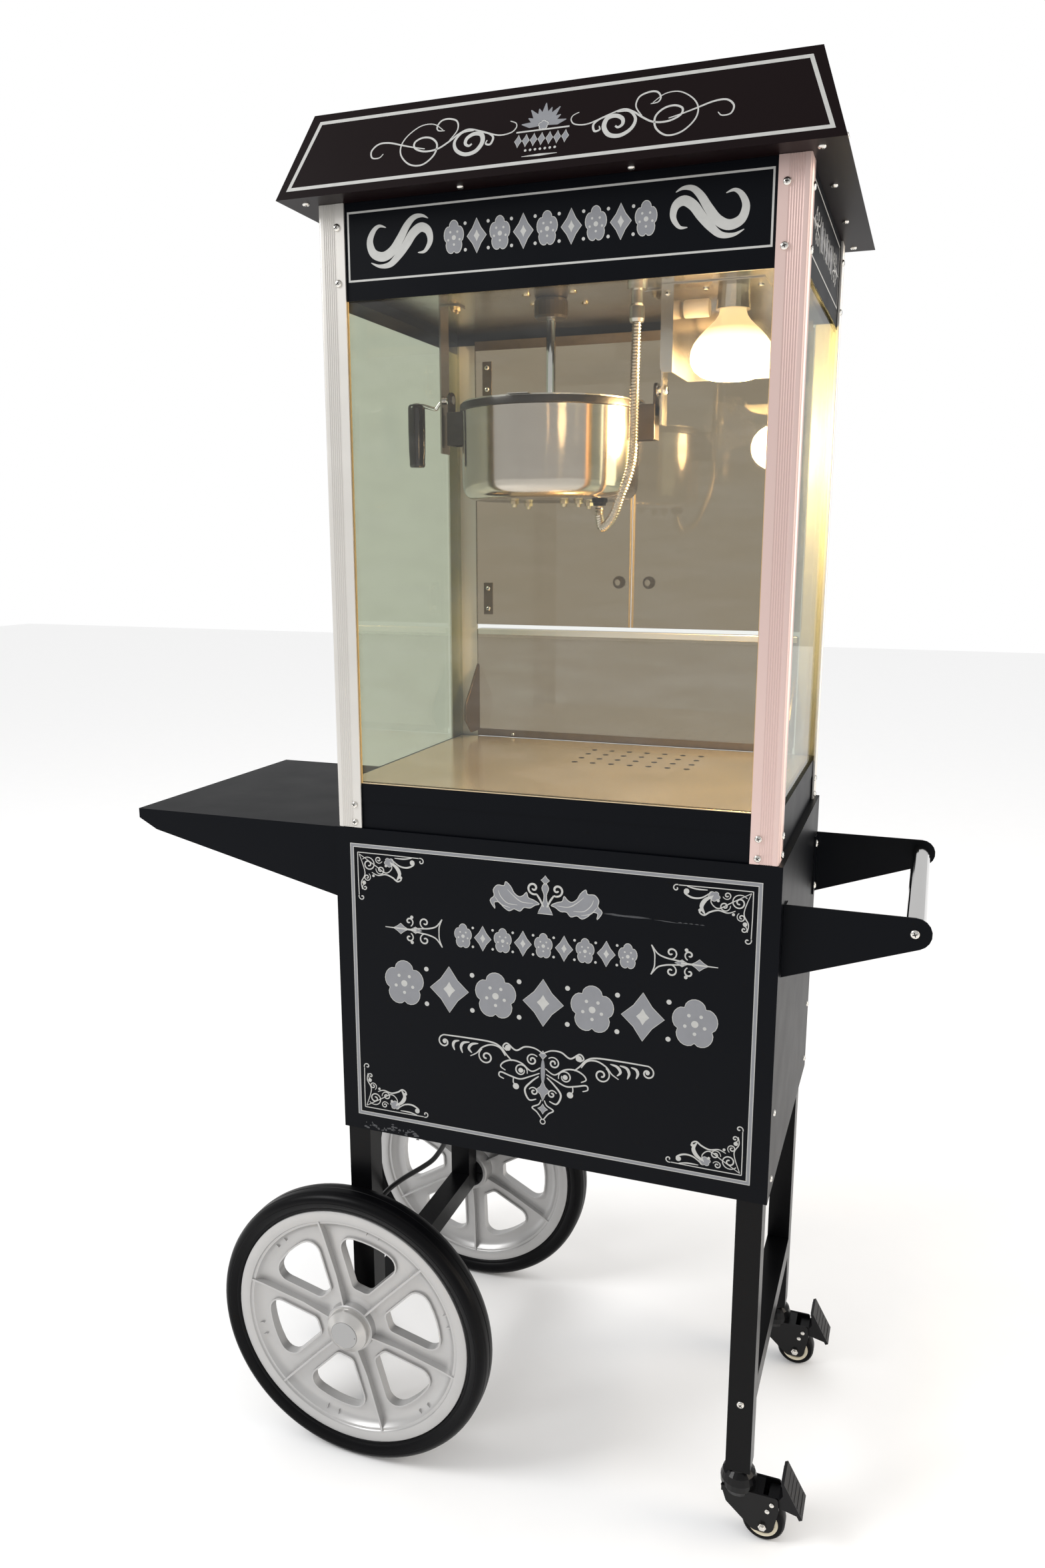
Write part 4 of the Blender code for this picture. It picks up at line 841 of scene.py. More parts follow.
def filigree(panel, u, v, turn_u, turn_v):
    """Scrollwork that fills one corner of the frame."""
    local = panel.turned(u, v, turn_u, turn_v)
    local.line([(0, 0), (40, 0), (79, 0.5)], 1.0, 1.0, 1.0)
    local.line([(0, 0), (0, 28), (0.5, 52)], 1.0, 1.0, 1.0)
    local.line(spiral(81.5, 4.2, 4.4, -115, 0.95), 1.1, 1.3, 1.4)
    local.line(spiral(4.2, 54.5, 4.4, 205, -0.95), 1.1, 1.3, 1.4)
    local.line(spiral(14, 13.5, 9.5, 215, 1.7), 0.9, 1.5, 1.5)
    local.line(spiral(29.5, 19, 6.2, 190, -1.5), 0.8, 1.4, 1.4)
    local.line(spiral(27, 6.8, 5.0, 20, 1.4), 0.8, 1.3, 1.3)
    local.line(spiral(11.5, 29.5, 5.2, -60, 1.5), 0.8, 1.3, 1.3)
    local.line(spiral(8.5, 42.5, 4.0, -100, -1.2), 0.8, 1.3, 1.3)
    local.line(flow([(2, 2), (9, 24), (4, 36), (5, 45)]), 0.7, 1.2, 0.8)
    local.line(flow([(2, 2), (22, 14), (36, 22), (44, 16), (42, 8)]), 0.7, 1.2, 0.8)
    local.line(flow([(18, 23), (26, 26), (36, 24), (45, 27), (51, 31), (56, 28), (54, 22)]), 0.8, 1.8, 1.2)
    local.line(flow([(42, 9), (50, 14), (54, 22), (50, 30)]), 1.0, 4.6, 0.8)
    local.line(flow([(44, 5), (54, 12), (64, 13), (72, 9), (72, 5)]), 0.9, 2.0, 1.4)
    local.line(flow([(48, 3), (60, 3), (70, 1)]), 0.7, 1.6, 0.7)
    local.shape(lobed(41, 9, 6.5, 5.5, lobes=5, depth=0.3, turn=20), edge=0.6)
    local.disc(70.5, 6.5, 3.0)
    for place_u, place_v, radius in ((7.5, 36.5, 2.4), (20, 27, 1.6), (36.5, 13.5, 1.6), (55.5, 26, 1.8)):
        local.disc(place_u, place_v, radius)
    panel.layers = local.layers


def spray(panel, u, v, side):
    """Pointed finial with two pairs of curls and a hollow-sided end, beside the upper row."""
    local = panel.turned(u, v, side, 1)
    for sign in (1, -1):
        def at(points, sign=sign):
            return [(a, sign * b) for a, b in points]
        local.line(at(spiral(-13, 10.5, 7.5, -95, 1.15)), 1.2, 1.9, 1.6)
        local.line(at(spiral(7, 10, 6.0, 250, -1.05)), 1.2, 1.9, 1.6)
        local.line(at(flow([(-35, 17), (-28, 8), (-20, 4.5), (-11, 3), (1, 2.0)])), 1.2, 1.7, 1.2)
        local.line(at(flow([(-35, 17), (-31.5, 8), (-31, 0)])), 1.2, 1.4, 1.2)
        local.disc(3.5, sign * 15.5, 2.0)
    local.line([(-2, 0), (12, 0), (38, 0)], 2.2, 2.0, 0.9)
    local.shape(star(18, 0, 10, 6.5, 0.62))
    local.shape(star(-1, 0, 8, 4.0, 0.62))
    panel.layers = local.layers


def acanthus(panel, u, v):
    """Top ornament: a waisted stem with two volutes between lobed leaves."""
    local = panel.turned(u, v, 1, 1)
    stem = [(-9, -20), (-3, -8), (-1.5, 2), (-4, 10), (0, 16), (4, 10), (1.5, 2), (3, -8), (9, -20)]
    leaf = [(7, -9), (14, -5), (20, -3), (22, 3), (26, -1), (31, -3), (37, 1), (41, 8), (47, 13), (49, 8),
            (57, 8), (62, 2), (61, -5), (66, -11), (60, -20), (61, -13), (55, -12), (50, -17), (43, -21),
            (37, -18), (30, -20), (25, -15), (18, -15), (12, -11)]
    local.shape(flow(stem, 3), edge=0.8)
    local.shape(star(0, 19, 5.0, 5.5, 0.62))
    for side in (1, -1):
        outline = flow([(side * a, b) for a, b in leaf], 3, closed=True)
        local.shape(outline, edge=0.9)
        for vein in ([(14, -9), (27, -9), (36, -4), (45, 4)], [(33, -13), (45, -12), (53, -5), (56, 2)],
                     [(42, -17), (53, -14), (60, -6)]):
            local.line(flow([(side * a, b) for a, b in vein]), 0.4, 1.1, 0.4, slot=0)
    both_sides(local, spiral(14, 9, 8.0, -120, 1.25), 2.0, 2.4, 1.8)
    both_sides(local, flow([(2, -12), (6, -4), (10, 2)]), 1.6, 2.2, 1.8)
    panel.layers = local.layers


def pendant(panel, v):
    """Bottom ornament: a rail of scrolls over a hanging point."""
    local = panel.turned(0, v, 1, 1)
    both_sides(local, flow([(124, 2.5), (95, 3), (64, 2.5), (52, -2), (45, -10), (38, -17)]), 1.5, 1.9, 1.5)
    both_sides(local, spiral(123, -6, 8.6, 88, -1.25), 1.5, 1.9, 1.9)
    both_sides(local, flow([(46, -12), (53, -3), (64, -1), (75, -6), (82, -14), (90, -19)]), 1.3, 1.8, 1.0)
    both_sides(local, spiral(70, -17, 10.5, 60, -1.45), 1.3, 2.0, 2.0)
    for hook in ([(91, -2), (99, -4), (102, -10), (100, -17)], [(104, -2), (110, -4), (112, -9), (110, -15)],
                 [(80, -2), (88, -4), (92, -10), (88, -15)]):
        both_sides(local, flow(hook), 0.8, 3.4, 0.8)
    both_sides(local, flow([(0, -2), (10, 3), (22, 3), (33, -3), (44, 4), (49, -1), (44, -5)]), 1.3, 1.9, 1.5)
    both_sides(local, spiral(13, -12, 8.0, 140, -1.5), 1.2, 1.9, 1.8)
    both_sides(local, flow([(3, -20), (14, -26), (26, -18), (38, -16), (48, -20), (52, -26), (46, -30)]),
               1.2, 1.8, 1.2)
    both_sides(local, flow([(4, -27), (16, -33), (28, -38), (40, -36), (52, -33), (54, -38), (48, -41)]),
               1.2, 1.8, 1.2)
    both_sides(local, spiral(27, -27, 8.4, 200, -1.1, inner=0.5), 1.1, 1.6, 1.1)
    both_sides(local, flow([(5, -31), (14, -39), (22, -50), (17, -62), (8, -60)]), 1.3, 2.2, 1.2)
    both_sides(local, spiral(11, -51, 6.0, 20, 1.3), 1.2, 1.8, 1.8)
    both_sides(local, flow([(36, -37), (36, -44), (31, -47)]), 1.2, 1.4, 1.2)
    both_sides(local, flow([(2, -60), (5, -66), (13, -71), (7, -76), (1, -84)]), 1.2, 1.6, 1.2)
    local.line(flow([(0, -10), (0, -24), (0, -38)]), 2.0, 5.2, 2.4, slot=1)
    local.shape(star(0, -4, 4.5, 5.5, 0.62))
    local.shape(star(0, -48, 8.5, 13, 0.52))
    local.shape(star(0, -71, 6.0, 6.5, 0.52))
    local.line(spiral(0, -87, 3.0, 90, 1.0, inner=1.0), 1.2, 1.2, 1.2)
    for u, w, radius in ((43, -1.5, 3.6), (27, -27, 3.0), (33, -48, 3.8), (123, -6, 2.2)):
        local.disc(u, w, radius)
        local.disc(-u, w, radius)
    panel.layers = local.layers


def make_cabinet_print():
    panel = Panel((CENTRE_X, CABINET_LOW[1], 0.0), (1, 0, 0), (0, 0, 1))
    panel.border([(-240.5, 457.5), (240.5, 457.5), (240.5, 803.6), (-240.5, 803.6)], 4.6, 0.8)
    for side in (1, -1):
        filigree(panel, -231 * side, 793, side, -1)
        filigree(panel, -231 * side, 468, side, 1)
        spray(panel, side * 159, 705, side)
    acanthus(panel, 2, 763)
    ornament_row(panel, 705, 110, 9, 30)
    ornament_row(panel, 637, 203, 7, 57)
    pendant(panel, 577)
    panel.show("cabinet_ornament")


def make_roof_print():
    depth = ROOF_TOP_LOW_Y - ROOF_LOW[1]
    rise = ROOF_HIGH[2] - ROOF_LOW[2]
    panel = Panel((CENTRE_X, ROOF_LOW[1], ROOF_LOW[2]), (1, 0, 0), (0, depth, rise))
    panel.border([(-277, 9), (277, 9), (251, 88), (-251, 88)], 3.8, 1.9)
    swirl = [(35, 59), (29, 56), (28, 51), (33, 46), (46, 45), (65, 52), (79, 56), (89, 52), (98, 45),
             (110, 38), (124, 37), (135, 42), (136, 49), (128, 53), (118, 51), (111, 43), (113, 31),
             (124, 22), (138, 24), (149, 35), (151, 47), (145, 58), (132, 67), (118, 67), (107, 59)]
    both_sides(panel, flow(swirl), 0.8, 2.0, 0.8)
    both_sides(panel, flow([(98, 46), (91, 57), (93, 67), (102, 71), (110, 70), (114, 64), (112, 59),
                            (105, 58)]),
               1.0, 1.8, 0.8)
    both_sides(panel, flow([(124, 40), (136, 43), (149, 47), (165, 52), (177, 52), (184, 45), (182, 37),
                            (174, 36), (170, 40)]), 1.0, 1.8, 0.8)
    both_sides(panel, flow([(73, 54), (85, 53), (92, 44), (89, 34), (79, 28), (68, 30), (62, 39), (64, 48),
                            (72, 50), (79, 46), (80, 40), (76, 37), (73, 39)]), 1.2, 4.6, 1.6)
    both_sides(panel, flow([(65, 51), (56, 48), (51, 43), (53, 36), (58, 37), (57, 41)]), 0.8, 2.2, 0.9)
    for k in range(9):
        angle = math.radians(20 * k + 10)
        reach = 23 if k % 2 == 0 else 19
        tip = (reach * math.cos(angle), 49 + reach * math.sin(angle) * 1.1)
        panel.line([(5 * math.cos(angle), 49 + 5 * math.sin(angle)),
                    ((5 * math.cos(angle) + tip[0]) / 2, (49 + 5 * math.sin(angle) + tip[1]) / 2), tip],
                   1.2, 6.2, 0.8, slot=1)
    panel.shape(lobed(0, 50, 5.0, 5.0), edge=0.8)
    panel.line([(-27, 45), (0, 45), (27, 45)], 1.6, 1.6, 1.6)
    for k in range(7):
        panel.shape(star(-24 + 8 * k, 35, 3.6, 7.0, 0.62), edge=0.5)
        panel.disc(-15 + 5 * k, 24, 1.3)
    panel.line([(-18, 17.5), (0, 17.5), (18, 17.5)], 0.4, 2.4, 0.4)
    panel.show("roof_ornament")


def swash(panel):
    """Heavy double S scroll at each end of the header."""
    for points in ([(129, 26), (136, 29), (145, 28), (153, 21), (161, 9), (170, -2), (181, -7), (192, -3),
                    (196, 8), (192, 18), (185, 23), (177, 21)],
                   [(141, -6), (133, -5), (127, 4), (129, 14), (137, 18), (146, 13), (154, 3), (163, -7),
                    (173, -15), (185, -16), (195, -12)]):
        both_sides(panel, flow(points), 0.6, 9.5, 0.6)


def make_header_print():
    middle = (HEADER_LOW[2] + HEADER_HIGH[2]) / 2
    panel = Panel((CENTRE_X, HEADER_LOW[1], middle), (1, 0, 0), (0, 0, 1))
    panel.border([(-222, -29.6), (222, -29.6), (222, 39.4), (-222, 39.4)], 2.0, 1.0)
    swash(panel)
    ornament_row(panel, 5, 113, 9, 33)
    panel.show("header_ornament")
    for name, x, right in (("right", SIDE_HIGH[0], BACKWARD),
                           ("left", 2 * CENTRE_X - SIDE_HIGH[0], FRONTWARD)):
        side = Panel((x, CENTRE_Y, middle), right, (0, 0, 1))
        side.border([(-142, -29.6), (142, -29.6), (142, 39.4), (-142, 39.4)], 2.0, 1.0)
        ornament_row(side, 5, 62, 5, 30)
        spray(side, 98, 5, 1)
        spray(side, -98, 5, -1)
        side.show(f"side_ornament_{name}")


# ---- fasteners ---------------------------------------------------------------------------------
def screw_mesh(radius, height):
    """Domed head with a cross recess drawn as dark bars of painted shade, standing on z = 0."""
    mesh = bmesh.new()
    profile = [(0, -0.0006), (radius, -0.0006), (radius, height * 0.25), (radius * 0.88, height * 0.62),
               (radius * 0.62, height * 0.88), (radius * 0.30, height), (0, height)]
    add(mesh, lathe(profile, 20))
    reach, wide = radius * 0.50, radius * 0.11
    for along, across in ((reach, wide), (wide, reach)):
        # The cross recess is two dark bars in slot 1: painted shade standing for the hollow.
        add(mesh, box((-along, -across, height * 0.55), (along, across, height * 1.03)), slot=1)
    return mesh


def screws(name, places, body="cart", radius=0.0040, height=0.0024):
    """Screw heads at (point, normal) places, each turned at random, in one piece."""
    mesh = bmesh.new()
    rng = random.Random(len(name))
    for point, normal in places:
        turn = Matrix.Rotation(rng.uniform(0, math.pi / 2), 4, "Z")
        join(mesh, move(screw_mesh(radius, height), facing(point, normal) @ turn))
    piece(name, mesh, SCREW_STEEL, body, smooth=40, extra=(RECESS_SHADE,))


def post_screws():
    places = []
    for side in (-1, 1):
        for z in POST_SCREW_HEIGHTS:
            x = CENTRE_X + side * 0.2333
            places += [((x, POST_LOW[1], z), FRONTWARD), ((x, REAR_POST_HIGH[1], z), BACKWARD)]
            for y in (POST_LOW[1] + 0.0235, REAR_POST_HIGH[1] - 0.0235):
                places.append(((CENTRE_X + side * (POST_HIGH[0] - CENTRE_X), y, z), (side, 0, 0)))
    screws("post_screws", places)


def roof_screws():
    under = ROOF_LOW[2]
    places = [((CENTRE_X + x, y, under), DOWN)
              for x in (-0.264, -0.088, 0.088, 0.264) for y in (-0.182, 0.202)]
    places += [((CENTRE_X + x, y, under), DOWN) for x in (-0.264, 0.264) for y in (-0.06, 0.08)]
    screws("roof_screws", places)
    screws("hip_screws", [((ROOF_HIGH[0] - 0.0030, -0.176 + 0.007 * k, under + 0.009), (0.089, 0, 0.0286))
                          for k in range(2)], radius=0.0022, height=0.0014)


def cart_screws():
    """Screws on the cabinet's sides, the push bar with its arms, and the legs' tie."""
    screws("cabinet_screws", [((x, y, z), (side, 0, 0))
                              for x, side in ((CABINET_HIGH[0], 1), (CABINET_LOW[0], -1))
                              for y in (-0.1515, 0.172) for z in (0.537, 0.4575)], radius=0.0036)
    front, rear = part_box("handle_arm_front")[0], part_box("handle_arm_rear")[1]
    bar = middle_of("push_bar")
    places = [((front[0] + 0.002, y, z), (1, 0, 0)) for y in (front[1] + 0.013, rear[1] - 0.013)
              for z in (0.764, 0.708)]
    places += [((bar.x, front[1], bar.z), FRONTWARD), ((bar.x, rear[1], bar.z), BACKWARD)]
    screws("handle_screws", places, radius=0.0050, height=0.0026)
    leg_x, tie_z = middle_of("leg_front_right").x, 0.1780
    screws("leg_screws", [((leg_x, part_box("leg_front_right")[0][1], tie_z), FRONTWARD),
                          ((leg_x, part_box("leg_rear_right")[1][1], tie_z), BACKWARD)], radius=0.0045)


# ---- wheels --------------------------------------------------------------------------------------
def window_outline(grow):
    """One of the wheel's openings, made larger all round by a distance."""
    spoke_half, inner, outer = 0.0165 - grow, 0.0520 - grow, 0.1200 + grow
    wide = SPOKE_STEP / 2 - math.asin(spoke_half / outer)
    narrow = SPOKE_STEP / 2 - math.asin(spoke_half / inner)
    arc = [(outer, -wide + 2 * wide * k / 8, 0.0) for k in range(2, 7)]
    corners = [(outer, -wide, 0.015 + grow)] + arc + [(outer, wide, 0.015 + grow)]
    corners += [(inner, narrow, 0.008 + grow), (inner, -narrow, 0.008 + grow)]
    return rounded([(r * math.cos(a), r * math.sin(a), f) for r, a, f in corners], 6)


def rim_mesh():
    """Turned rim, web and hub in one closed profile, outboard side up."""
    front = [(0.0060, 0.0150), (0.0300, 0.0150), (0.0312, 0.0140), (0.0318, 0.0052), (0.0345, 0.0042),
             (0.0400, 0.0034), (0.1225, 0.0034), (0.1300, 0.0038), (0.1345, 0.0052), (0.1382, 0.0078),
             (0.1405, 0.0108), (0.1412, 0.0116), (0.1440, 0.0118), (0.1446, 0.0124), (0.1452, 0.0138),
             (0.1462, 0.0144), (0.1575, 0.0146), (0.1588, 0.0140), (0.1592, 0.0128)]
    rear = [(r, -h) for r, h in reversed(front) if r > 0.0318]
    hub = [(0.0318, -0.0052), (0.0300, -0.0240), (0.0285, -0.0255), (0.0130, -0.0255), (0.0125, -0.0235),
           (0.0068, -0.0235), (0.0060, -0.0200)]
    return lathe(front + rear + hub, 96)


def rim_details(start):
    """Raised window edges, the fins along the spokes, and small tabs on the rim."""
    details = bmesh.new()
    fin = [(0.0290, 0.0020), (0.1450, 0.0020), (0.1450, 0.0134), (0.1300, 0.0120), (0.0700, 0.0104),
           (0.0290, 0.0142)]
    upright = Matrix.Rotation(math.pi / 2, 4, "X")
    for i in range(SPOKES):
        between = start + (i + 0.5) * SPOKE_STEP
        for base, top in ((0.0030, 0.0062), (-0.0062, -0.0030)):
            add(details, ring_prism(window_outline(-0.0001), window_outline(0.0020), base, top),
                Matrix.Rotation(between, 4, "Z"))
        for flip in (1, -1):
            blade = prism([(r, h * flip) for r, h in fin], -0.0013, 0.0013)
            add(details, blade, Matrix.Rotation(start + i * SPOKE_STEP, 4, "Z") @ upright)
        for offset in (-0.06, 0.06):
            add(details, box((0.1330, -0.0004, 0.0030), (0.1410, 0.0004, 0.0085)),
                Matrix.Rotation(between + offset, 4, "Z"))
    return details


def temporary(name, mesh):
    """An object that is there only while a Boolean is worked out."""
    data = bpy.data.meshes.new(name)
    mesh.to_mesh(data)
    mesh.free()
    item = bpy.data.objects.new(name, data)
    bpy.context.scene.collection.objects.link(item)
    return item


def cut_out(mesh, cutters):
    """One bmesh less another."""
    item, helper = temporary("uncut", mesh), temporary("cutters", cutters)
    modifier = item.modifiers.new("Boolean", "BOOLEAN")
    modifier.operation = "DIFFERENCE"
    modifier.solver = "EXACT"
    modifier.object = helper
    evaluated = item.evaluated_get(bpy.context.evaluated_depsgraph_get())
    data = bpy.data.meshes.new_from_object(evaluated)
    result = bmesh.new()
    result.from_mesh(data)
    bpy.data.meshes.remove(data)
    for used in (item, helper):
        bpy.data.objects.remove(used, do_unlink=True)
    return result


def make_rim(end, start, place, body):
    windows = bmesh.new()
    for i in range(SPOKES):
        add(windows, prism(window_outline(0.0), -0.02, 0.02),
            Matrix.Rotation(start + (i + 0.5) * SPOKE_STEP, 4, "Z"))
    mesh = cut_out(rim_mesh(), windows)
    add(mesh, rim_details(start))
    rim = piece(f"rim_{end}", move(mesh, place), RIM_PLASTIC, body, smooth=32, bevel=0.0007)
    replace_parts(rim, f"wheel_rim_{end}")


def make_hub(end, place, body):
    """Stepped outer cap with a flat disc, and the ribbed bush on the inner side."""
    cap = bmesh.new()
    add(cap, lathe([(0, 0.0140), (0.0292, 0.0140), (0.0292, 0.0150), (0.0276, 0.0152), (0.0276, 0.0214),
                    (0.0270, 0.0226), (0.0256, 0.0234), (0.0192, 0.0282), (0.0184, 0.0288),
                    (0.0179, 0.0288), (0.0178, 0.0281), (0, 0.0281)], 72))
    add(cap, lathe([(0, 0.0275), (0.0174, 0.0275), (0.0174, 0.0292), (0.0168, 0.0297), (0, 0.0297)], 72),
        slot=1)
    # A tiny dark dot on the disc in slot 2: painted shade standing for a small hole.
    add(cap, lathe([(0, 0.0290), (0.0006, 0.0290), (0.0006, 0.0299), (0, 0.0299)], 10), at(0.0150, 0.0), 2)
    piece(f"hub_cap_{end}", move(cap, place), CAP_PLASTIC, body, smooth=24, extra=(CAP_DISC, RECESS_SHADE))
    bush = bmesh.new()
    add(bush, lathe([(0.0075, -0.0262), (0.0240, -0.0262), (0.0250, -0.0250), (0.0250, -0.0230),
                     (0.0075, -0.0230)], 48))
    for k in range(8):
        add(bush, box((0.0105, -0.0010, -0.0275), (0.0235, 0.0010, -0.0255)),
            Matrix.Rotation(math.tau * k / 8, 4, "Z"))
    piece(f"hub_bearing_{end}", move(bush, place), MOULDED_BLACK, body, smooth=30)


def make_tyre(end, place, body):
    """Solid rubber tyre with a beaded sidewall and three fine grooves round it."""
    side = [(0.1595, 0.0118), (0.1600, 0.0130), (0.1612, 0.0142), (0.1630, 0.0149), (0.1640, 0.0148),
            (0.1648, 0.0156), (0.1690, 0.0181), (0.1722, 0.0189), (0.1728, 0.0186), (0.1734, 0.0189),
            (0.1762, 0.0184), (0.1790, 0.0169), (0.1812, 0.0142), (0.1822, 0.0118), (0.1824, 0.0110),
            (0.1829, 0.0104), (0.1834, 0.0070), (0.1835, 0.0030), (0.1835, 0.0012), (0.1829, 0.0006)]
    tyre = piece(f"rubber_{end}", move(lathe(both_faces(side), 128), place), RUBBER, body, smooth=40)
    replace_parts(tyre, f"tyre_{end}")


def make_wheel(end, sign, phase):
    """A spoked wheel whose outer side looks along Y by its sign, turned by a phase in degrees."""
    place = facing(middle_of(f"tyre_{end}"), (0, sign, 0))
    body = f"wheel_{end}"
    make_rim(end, -sign * math.radians(phase), place, body)
    make_hub(end, place, body)
    make_tyre(end, place, body)


# ---- casters -------------------------------------------------------------------------------------
def make_roller(end, centre):
    low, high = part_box(f"caster_wheel_{end}")
    radius, half = (high[2] - low[2]) / 2, (high[1] - low[1]) / 2
    tread = [(0.0175, half - 0.0010), (0.0195, half - 0.0006), (0.0225, half - 0.0014),
             (0.0243, half - 0.0036), (radius, half - 0.0062)]
    disc = [(0.0039, half - 0.0022), (0.0090, half - 0.0020), (0.0105, half - 0.0034),
            (0.0125, half - 0.0034), (0.0135, half), (0.0172, half), (0.0176, half - 0.0010)]
    roller = bmesh.new()
    add(roller, lathe(both_faces(tread), 56), slot=1)
    add(roller, lathe(both_faces(disc), 48))
    wheel = piece(f"roller_{end}", move(roller, facing(centre, FRONTWARD)), IVORY, f"caster_roller_{end}",
                  smooth=35, extra=(RUBBER,))
    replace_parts(wheel, f"caster_wheel_{end}")


def make_caster_nuts(end, centre):
    """Axle nuts and rivets on both cheeks of the fork."""
    stud = [(0, 0.0030), (0.0030, 0.0030), (0.0030, 0.0046), (0.0024, 0.0052), (0, 0.0052)]
    rivet = [(0, -0.0005), (0.0030, -0.0005), (0.0029, 0.0012), (0.0018, 0.0021), (0, 0.0024)]
    pivot = Vector((centre.x + 0.0095, centre.y, 0.0565))
    nuts = bmesh.new()
    for sign in (-1, 1):
        cheek = Vector((0, sign * 0.0158, 0))
        place = facing(centre + cheek, cheek)
        add(nuts, prism(circle(0.0050, 6), 0.0, 0.0032), place)
        add(nuts, lathe(stud, 16), place)
        for shift in ((0, 0, 0), (-0.0048, 0, -0.0100)):
            add(nuts, lathe(rivet, 18), facing(pivot + cheek + Vector(shift), cheek))
    piece(f"caster_nuts_{end}", nuts, SCREW_STEEL, f"caster_{end}", smooth=35, bevel=0.0003)


def make_pedal_grips(end, centre):
    """Five ribs across the slope of the foot brake's pad."""
    foot, slope = Vector((0.3850, centre.y, 0.0505)), Vector((-0.0225, 0, 0.0405))
    ribs = bmesh.new()
    for k in range(5):
        add(ribs, box((-0.0165, -0.0007, -0.0006), (0.0165, 0.0007, 0.0007)),
            facing(foot + slope * ((k + 0.7) / 6), (slope.z, 0, -slope.x)))
    piece(f"pedal_grips_{end}", ribs, MOULDED_BLACK, f"brake_{end}", smooth=0, bevel=0.0003)


def make_caster(end):
    centre = middle_of(f"caster_wheel_{end}")
    make_roller(end, centre)
    make_caster_nuts(end, centre)
    make_pedal_grips(end, centre)
    soften(NODES[f"caster_fork_{end}"], 0.0009)
    soften(NODES[f"brake_pedal_{end}"], 0.0008)


# ---- kettle and lamp -------------------------------------------------------------------------------
def make_kettle_pan(top):
    r, low, seam = KETTLE_RADIUS, KETTLE_BOTTOM, top - 0.0090
    pan = [(0, low), (r - 0.018, low), (r - 0.0120, low + 0.0010), (r - 0.0070, low + 0.0035),
           (r - 0.0030, low + 0.0080), (r - 0.0010, low + 0.0140), (r - 0.0004, low + 0.0220),
           (r, top - 0.0130), (r + 0.0004, seam), (r - 0.0030, seam), (r - 0.0032, low + 0.0160),
           (r - 0.0070, low + 0.0080), (r - 0.0140, low + 0.0020), (0, low + 0.0020)]
    shell = piece("kettle_pan", move(lathe(pan, 144), OVER_KETTLE), POLISHED, "kettle", smooth=50)
    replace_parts(shell, "kettle")
    rim = [(r - 0.0030, top - 0.0086), (r + 0.0008, top - 0.0088), (r + 0.0018, top - 0.0080),
           (r + 0.0020, top - 0.0020), (r + 0.0016, top - 0.0004), (r + 0.0006, top), (r - 0.0030, top)]
    piece("kettle_rim", move(lathe(rim, 144), OVER_KETTLE), RIM_BAND, "kettle", smooth=40)


def make_kettle():
    lid_low, lid_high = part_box("kettle_lid")
    top = lid_low[2] - 0.0003
    make_kettle_pan(top)
    outline = half_circle(KETTLE_RADIUS * 0.995, 40) + list(reversed(half_circle(0.0085, 12)))
    piece("kettle_rear_lid", move(prism(outline, top + 0.0002, lid_high[2]), OVER_KETTLE), SHEET_STEEL,
          "kettle", smooth=30)
    make_kettle_ears()
    feet = bmesh.new()
    for x, y in ((-0.029, -0.045), (0.032, -0.045), (0.048, -0.040), (-0.040, 0.035), (0.035, 0.045)):
        bolt = at(KETTLE_X + x, KETTLE_Y + y, KETTLE_BOTTOM)
        add(feet, lathe([(0, 0.001), (0.0062, 0.001), (0.0062, -0.0008), (0.0030, -0.0010),
                         (0.0030, -0.0080), (0.0026, -0.0088), (0, -0.0088)], 18), bolt)
        add(feet, prism(circle(0.0052, 6), -0.0052, -0.0012), bolt)
    piece("kettle_bolts", feet, BRASS, "kettle", smooth=35)
    gland = lathe([(0, 1.1984), (0.0090, 1.1984), (0.0090, 1.1944), (0.0076, 1.1936), (0.0070, 1.1905),
                   (0, 1.1905)], 28)
    piece("kettle_gland", move(gland, at(*CABLE_ROUTE[0][:2])), MOULDED_BLACK, "kettle", smooth=30,
          bevel=0.0003)


def make_kettle_ears():
    """Folded brackets on the kettle's sides, their pivot plates, pins and washers."""
    pivot, low, high = 1.318, 1.2640, 1.3030
    near, fold, far = KETTLE_RADIUS - 0.0010, KETTLE_RADIUS + 0.0205, KETTLE_RADIUS + 0.0235
    tab = rounded([(-0.0090, 1.2900, 0), (0.0090, 1.2900, 0), (0.0090, pivot + 0.0088, 0.0070),
                   (-0.0090, pivot + 0.0088, 0.0070)], 6)
    pin = [(0, -0.004), (0.0050, -0.004), (0.0050, 0.0112), (0.0042, 0.0118), (0, 0.0118)]
    washer = [(0.0052, 0.0002), (0.0085, 0.0002), (0.0085, 0.0014), (0.0052, 0.0014)]
    brackets, pins = bmesh.new(), bmesh.new()
    for sign in (-1, 1):
        for y in (KETTLE_Y - 0.0120, KETTLE_Y + 0.0105):
            start, end = sorted((KETTLE_X + sign * near, KETTLE_X + sign * far))
            add(brackets, box((start, y, low), (end, y + 0.0015, high)))
        start, end = sorted((KETTLE_X + sign * fold, KETTLE_X + sign * far))
        add(brackets, box((start, KETTLE_Y - 0.0119, low + 0.0001), (end, KETTLE_Y + 0.0119, high - 0.0001)))
        add(brackets, prism(tab, -0.0015, 0.0015),
            at(KETTLE_X + sign * (KETTLE_RADIUS + 0.0220), KETTLE_Y) @ ALONG_X)
        place = facing((KETTLE_X + sign * far, KETTLE_Y, pivot), (sign, 0, 0))
        add(pins, lathe(pin, 24), place)
        add(pins, lathe(washer, 24), place)
    piece("kettle_brackets", brackets, DARK_METAL, "kettle", smooth=30, bevel=0.0005)
    piece("kettle_pins", pins, CHROME, "kettle", smooth=35)


